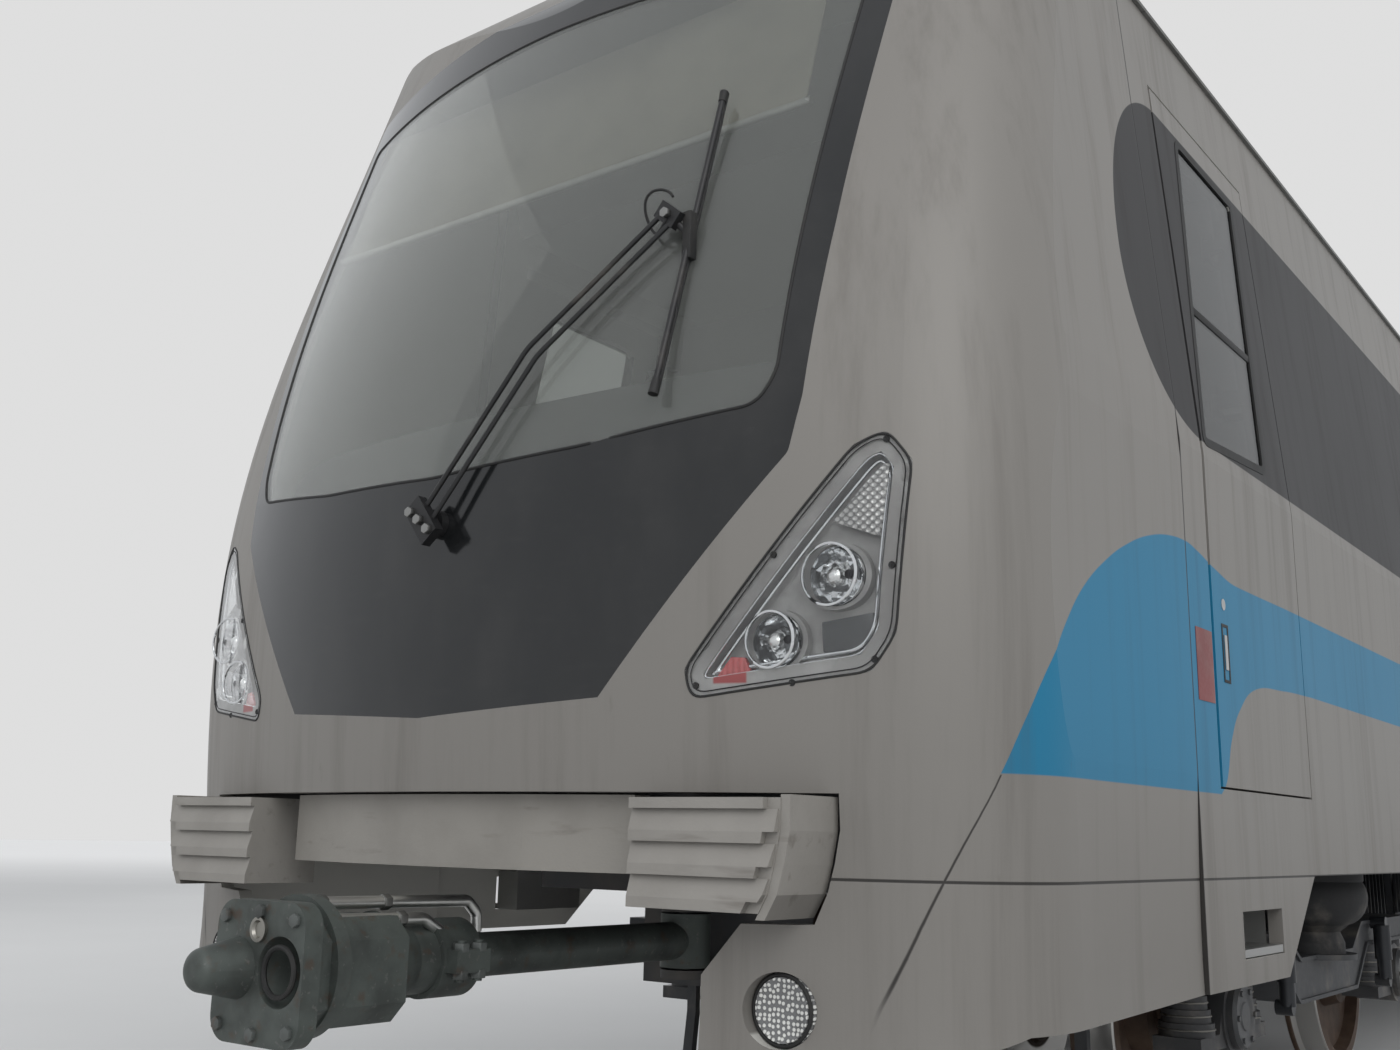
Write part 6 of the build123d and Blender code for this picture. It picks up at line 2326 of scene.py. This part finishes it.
DRESS: dict[str, Finish] = {
    "windscreen": Glass((0.62, 0.64, 0.61), haze=0.11),
    **{f"{side.cab_door}_pane": Glass((0.13, 0.135, 0.13), bend=1.22) for side in Side},
    "wiper": Plain((0.018, 0.018, 0.019), 0.42, 0.2, 90.0, 0.35),
    "gangway": Bellows(),
    "rear_end_wall": BodyPaint(striped=False),
    "front_apron": ScuffedPaint((0.285, 0.270, 0.245)),
    "cab_steps": Brushed((0.40, 0.40, 0.39), roughness=0.36),
    **{f"wheelset_{number}": RolledWheel(y) for number, y in enumerate((-7.05, -4.75, 5.55, 7.85), 1)},
    "cab_partition": Plain((0.40, 0.395, 0.375), 0.5, 0.0, 120.0, 0.05, clouds=0.10),
    "cab_inner_door": Plain((0.44, 0.435, 0.42), 0.45, 0.0, 120.0, 0.05, clouds=0.10),
    "air_supply": Plain((0.066, 0.070, 0.078), 0.45, 0.2, 60.0, 0.45),
    **{f"air_springs_{end.word}": Plain((0.020, 0.020, 0.021), 0.66, 0.0, 120.0, 0.6) for end in End},
    **{f"axleboxes_{end.word}": Plain((0.058, 0.058, 0.060), 0.52, 0.2, 70.0, 0.6) for end in End},
}


@dataclass(frozen=True)
class Lamp:
    """A soft studio lamp, seen or unseen in reflections.

    Attributes:
        name: Name in the scene.
        spot: Place.
        size: Edge of the square.
        power: Watts.
        mirrored: Whether it is seen in reflections.
    """

    name: str
    spot: Point
    size: float
    power: float
    mirrored: bool = True


@dataclass
class Station:
    """Floor, backdrop light and camera of the studio.

    Attributes:
        eye: Camera place.
        right: Picture's right.
        upward: Picture's up.
        back: Towards the viewer.
        lens: Focal length in millimetres.
        lamps: Studio lamps.
    """

    eye: Point = (2.59, -11.93, 0.978)
    right: Point = (0.79442, 0.60702, 0.02050)
    upward: Point = (0.11517, -0.18370, 0.97621)
    back: Point = (0.59634, -0.77317, -0.21585)
    lens: float = 36.257
    lamps: tuple = (
        Lamp("key", (9.0, -17.0, 9.5), 11.0, 760.0),
        Lamp("fill", (-11.0, -12.0, 7.0), 11.0, 300.0, False),
        Lamp("rear", (9.0, 12.0, 10.0), 15.0, 680.0, False),
        Lamp("rear_left", (-12.0, 8.0, 10.0), 15.0, 520.0),
    )

    def camera(self) -> None:
        """Stands the camera where the photograph was taken."""
        data = bpy.data.cameras.new("camera")
        data.lens = self.lens
        data.sensor_width = 36.0
        data.clip_end = 200.0
        eye = bpy.data.objects.new("camera", data)
        turn = Matrix((self.right, self.upward, self.back)).transposed().to_4x4()
        eye.matrix_world = Matrix.Translation(self.eye) @ turn
        bpy.context.scene.collection.objects.link(eye)
        bpy.context.scene.camera = eye

    def light(self) -> None:
        """Hangs large soft lamps round the car."""
        for row in self.lamps:
            data = bpy.data.lights.new(row.name, "AREA")
            data.shape = "SQUARE"
            data.size = row.size
            data.energy = row.power
            lamp = bpy.data.objects.new(row.name, data)
            lamp.visible_glossy = row.mirrored
            aim = Vector((0, max(-9.0, min(9.0, row.spot[1])), 1.6)) - Vector(row.spot)
            lamp.matrix_world = Matrix.Translation(row.spot) @ aim.to_track_quat("-Z", "Y").to_matrix().to_4x4()
            bpy.context.scene.collection.objects.link(lamp)

    def surroundings(self) -> None:
        """Lays the floor and sets the pale world."""
        bpy.ops.mesh.primitive_plane_add(size=160, location=(0, 0, 0))
        floor = bpy.context.object
        floor.name = "floor"
        graph = Graph("studio_floor")
        x, y, _ = graph.axes()
        tone = graph.mix(graph.noise(0.6, 3.0), (0.56, 0.56, 0.555), (0.60, 0.60, 0.595))
        far = ((x * x + y * y).root()).rise(9.0, 45.0)
        glow = graph.mix(far, (0.0, 0.0, 0.0), (0.30, 0.30, 0.30))
        finish = graph.finish(Base_Color=tone, Roughness=0.85, Emission_Color=glow, Emission_Strength=1.0)
        floor.data.materials.append(finish)
        world = bpy.data.worlds.new("studio")
        bpy.context.scene.world = world
        world.use_nodes = True
        nodes, links = world.node_tree.nodes, world.node_tree.links
        nodes.clear()
        out = nodes.new("ShaderNodeOutputWorld")
        rays = nodes.new("ShaderNodeLightPath")
        soft = nodes.new("ShaderNodeBackground")
        soft.inputs[0].default_value = (0.95, 0.97, 1.0, 1)
        soft.inputs[1].default_value = 0.74
        white = nodes.new("ShaderNodeBackground")
        white.inputs[1].default_value = 0.92
        pick = nodes.new("ShaderNodeMixShader")
        links.new(rays.outputs["Is Camera Ray"], pick.inputs[0])
        links.new(soft.outputs[0], pick.inputs[1])
        links.new(white.outputs[0], pick.inputs[2])
        links.new(pick.outputs[0], out.inputs[0])
        bpy.context.scene.view_settings.view_transform = "Standard"

    def build(self) -> None:
        """Builds all of it."""
        self.camera()
        self.light()
        self.surroundings()


def dress_nodes() -> None:
    """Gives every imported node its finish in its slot."""
    slots = {row["node"]: row["material_slot"] for row in frame["record"]["subparts"]}
    for name, node in frame["nodes"].items():
        finish = DRESS.get(name, SLOT_FINISH[slots[name]])
        if node.data.materials:
            node.data.materials[0] = finish.material()
        else:
            node.data.materials.append(finish.material())


def main() -> None:
    """Builds the studio and the car in order."""
    logging.basicConfig(level=logging.INFO, format="%(message)s")
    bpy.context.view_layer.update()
    dress_nodes()
    outside = (Headlamps(), Windscreen(), FrontEnd(), CabDoors(), Saloon(), CouplerFittings(), RoofFittings())
    bogies = (Bogie(-5.9, "bogie_front"), Bogie(6.7, "bogie_rear"))
    makers = (Station(), *outside, Interior(), SoftSeat(), *bogies, Underfloor())
    for maker in makers:
        maker.build()
        log.info("%s built", type(maker).__name__)
    Piece.release()
    bpy.context.view_layer.update()


if __name__ == "__main__":
    main()
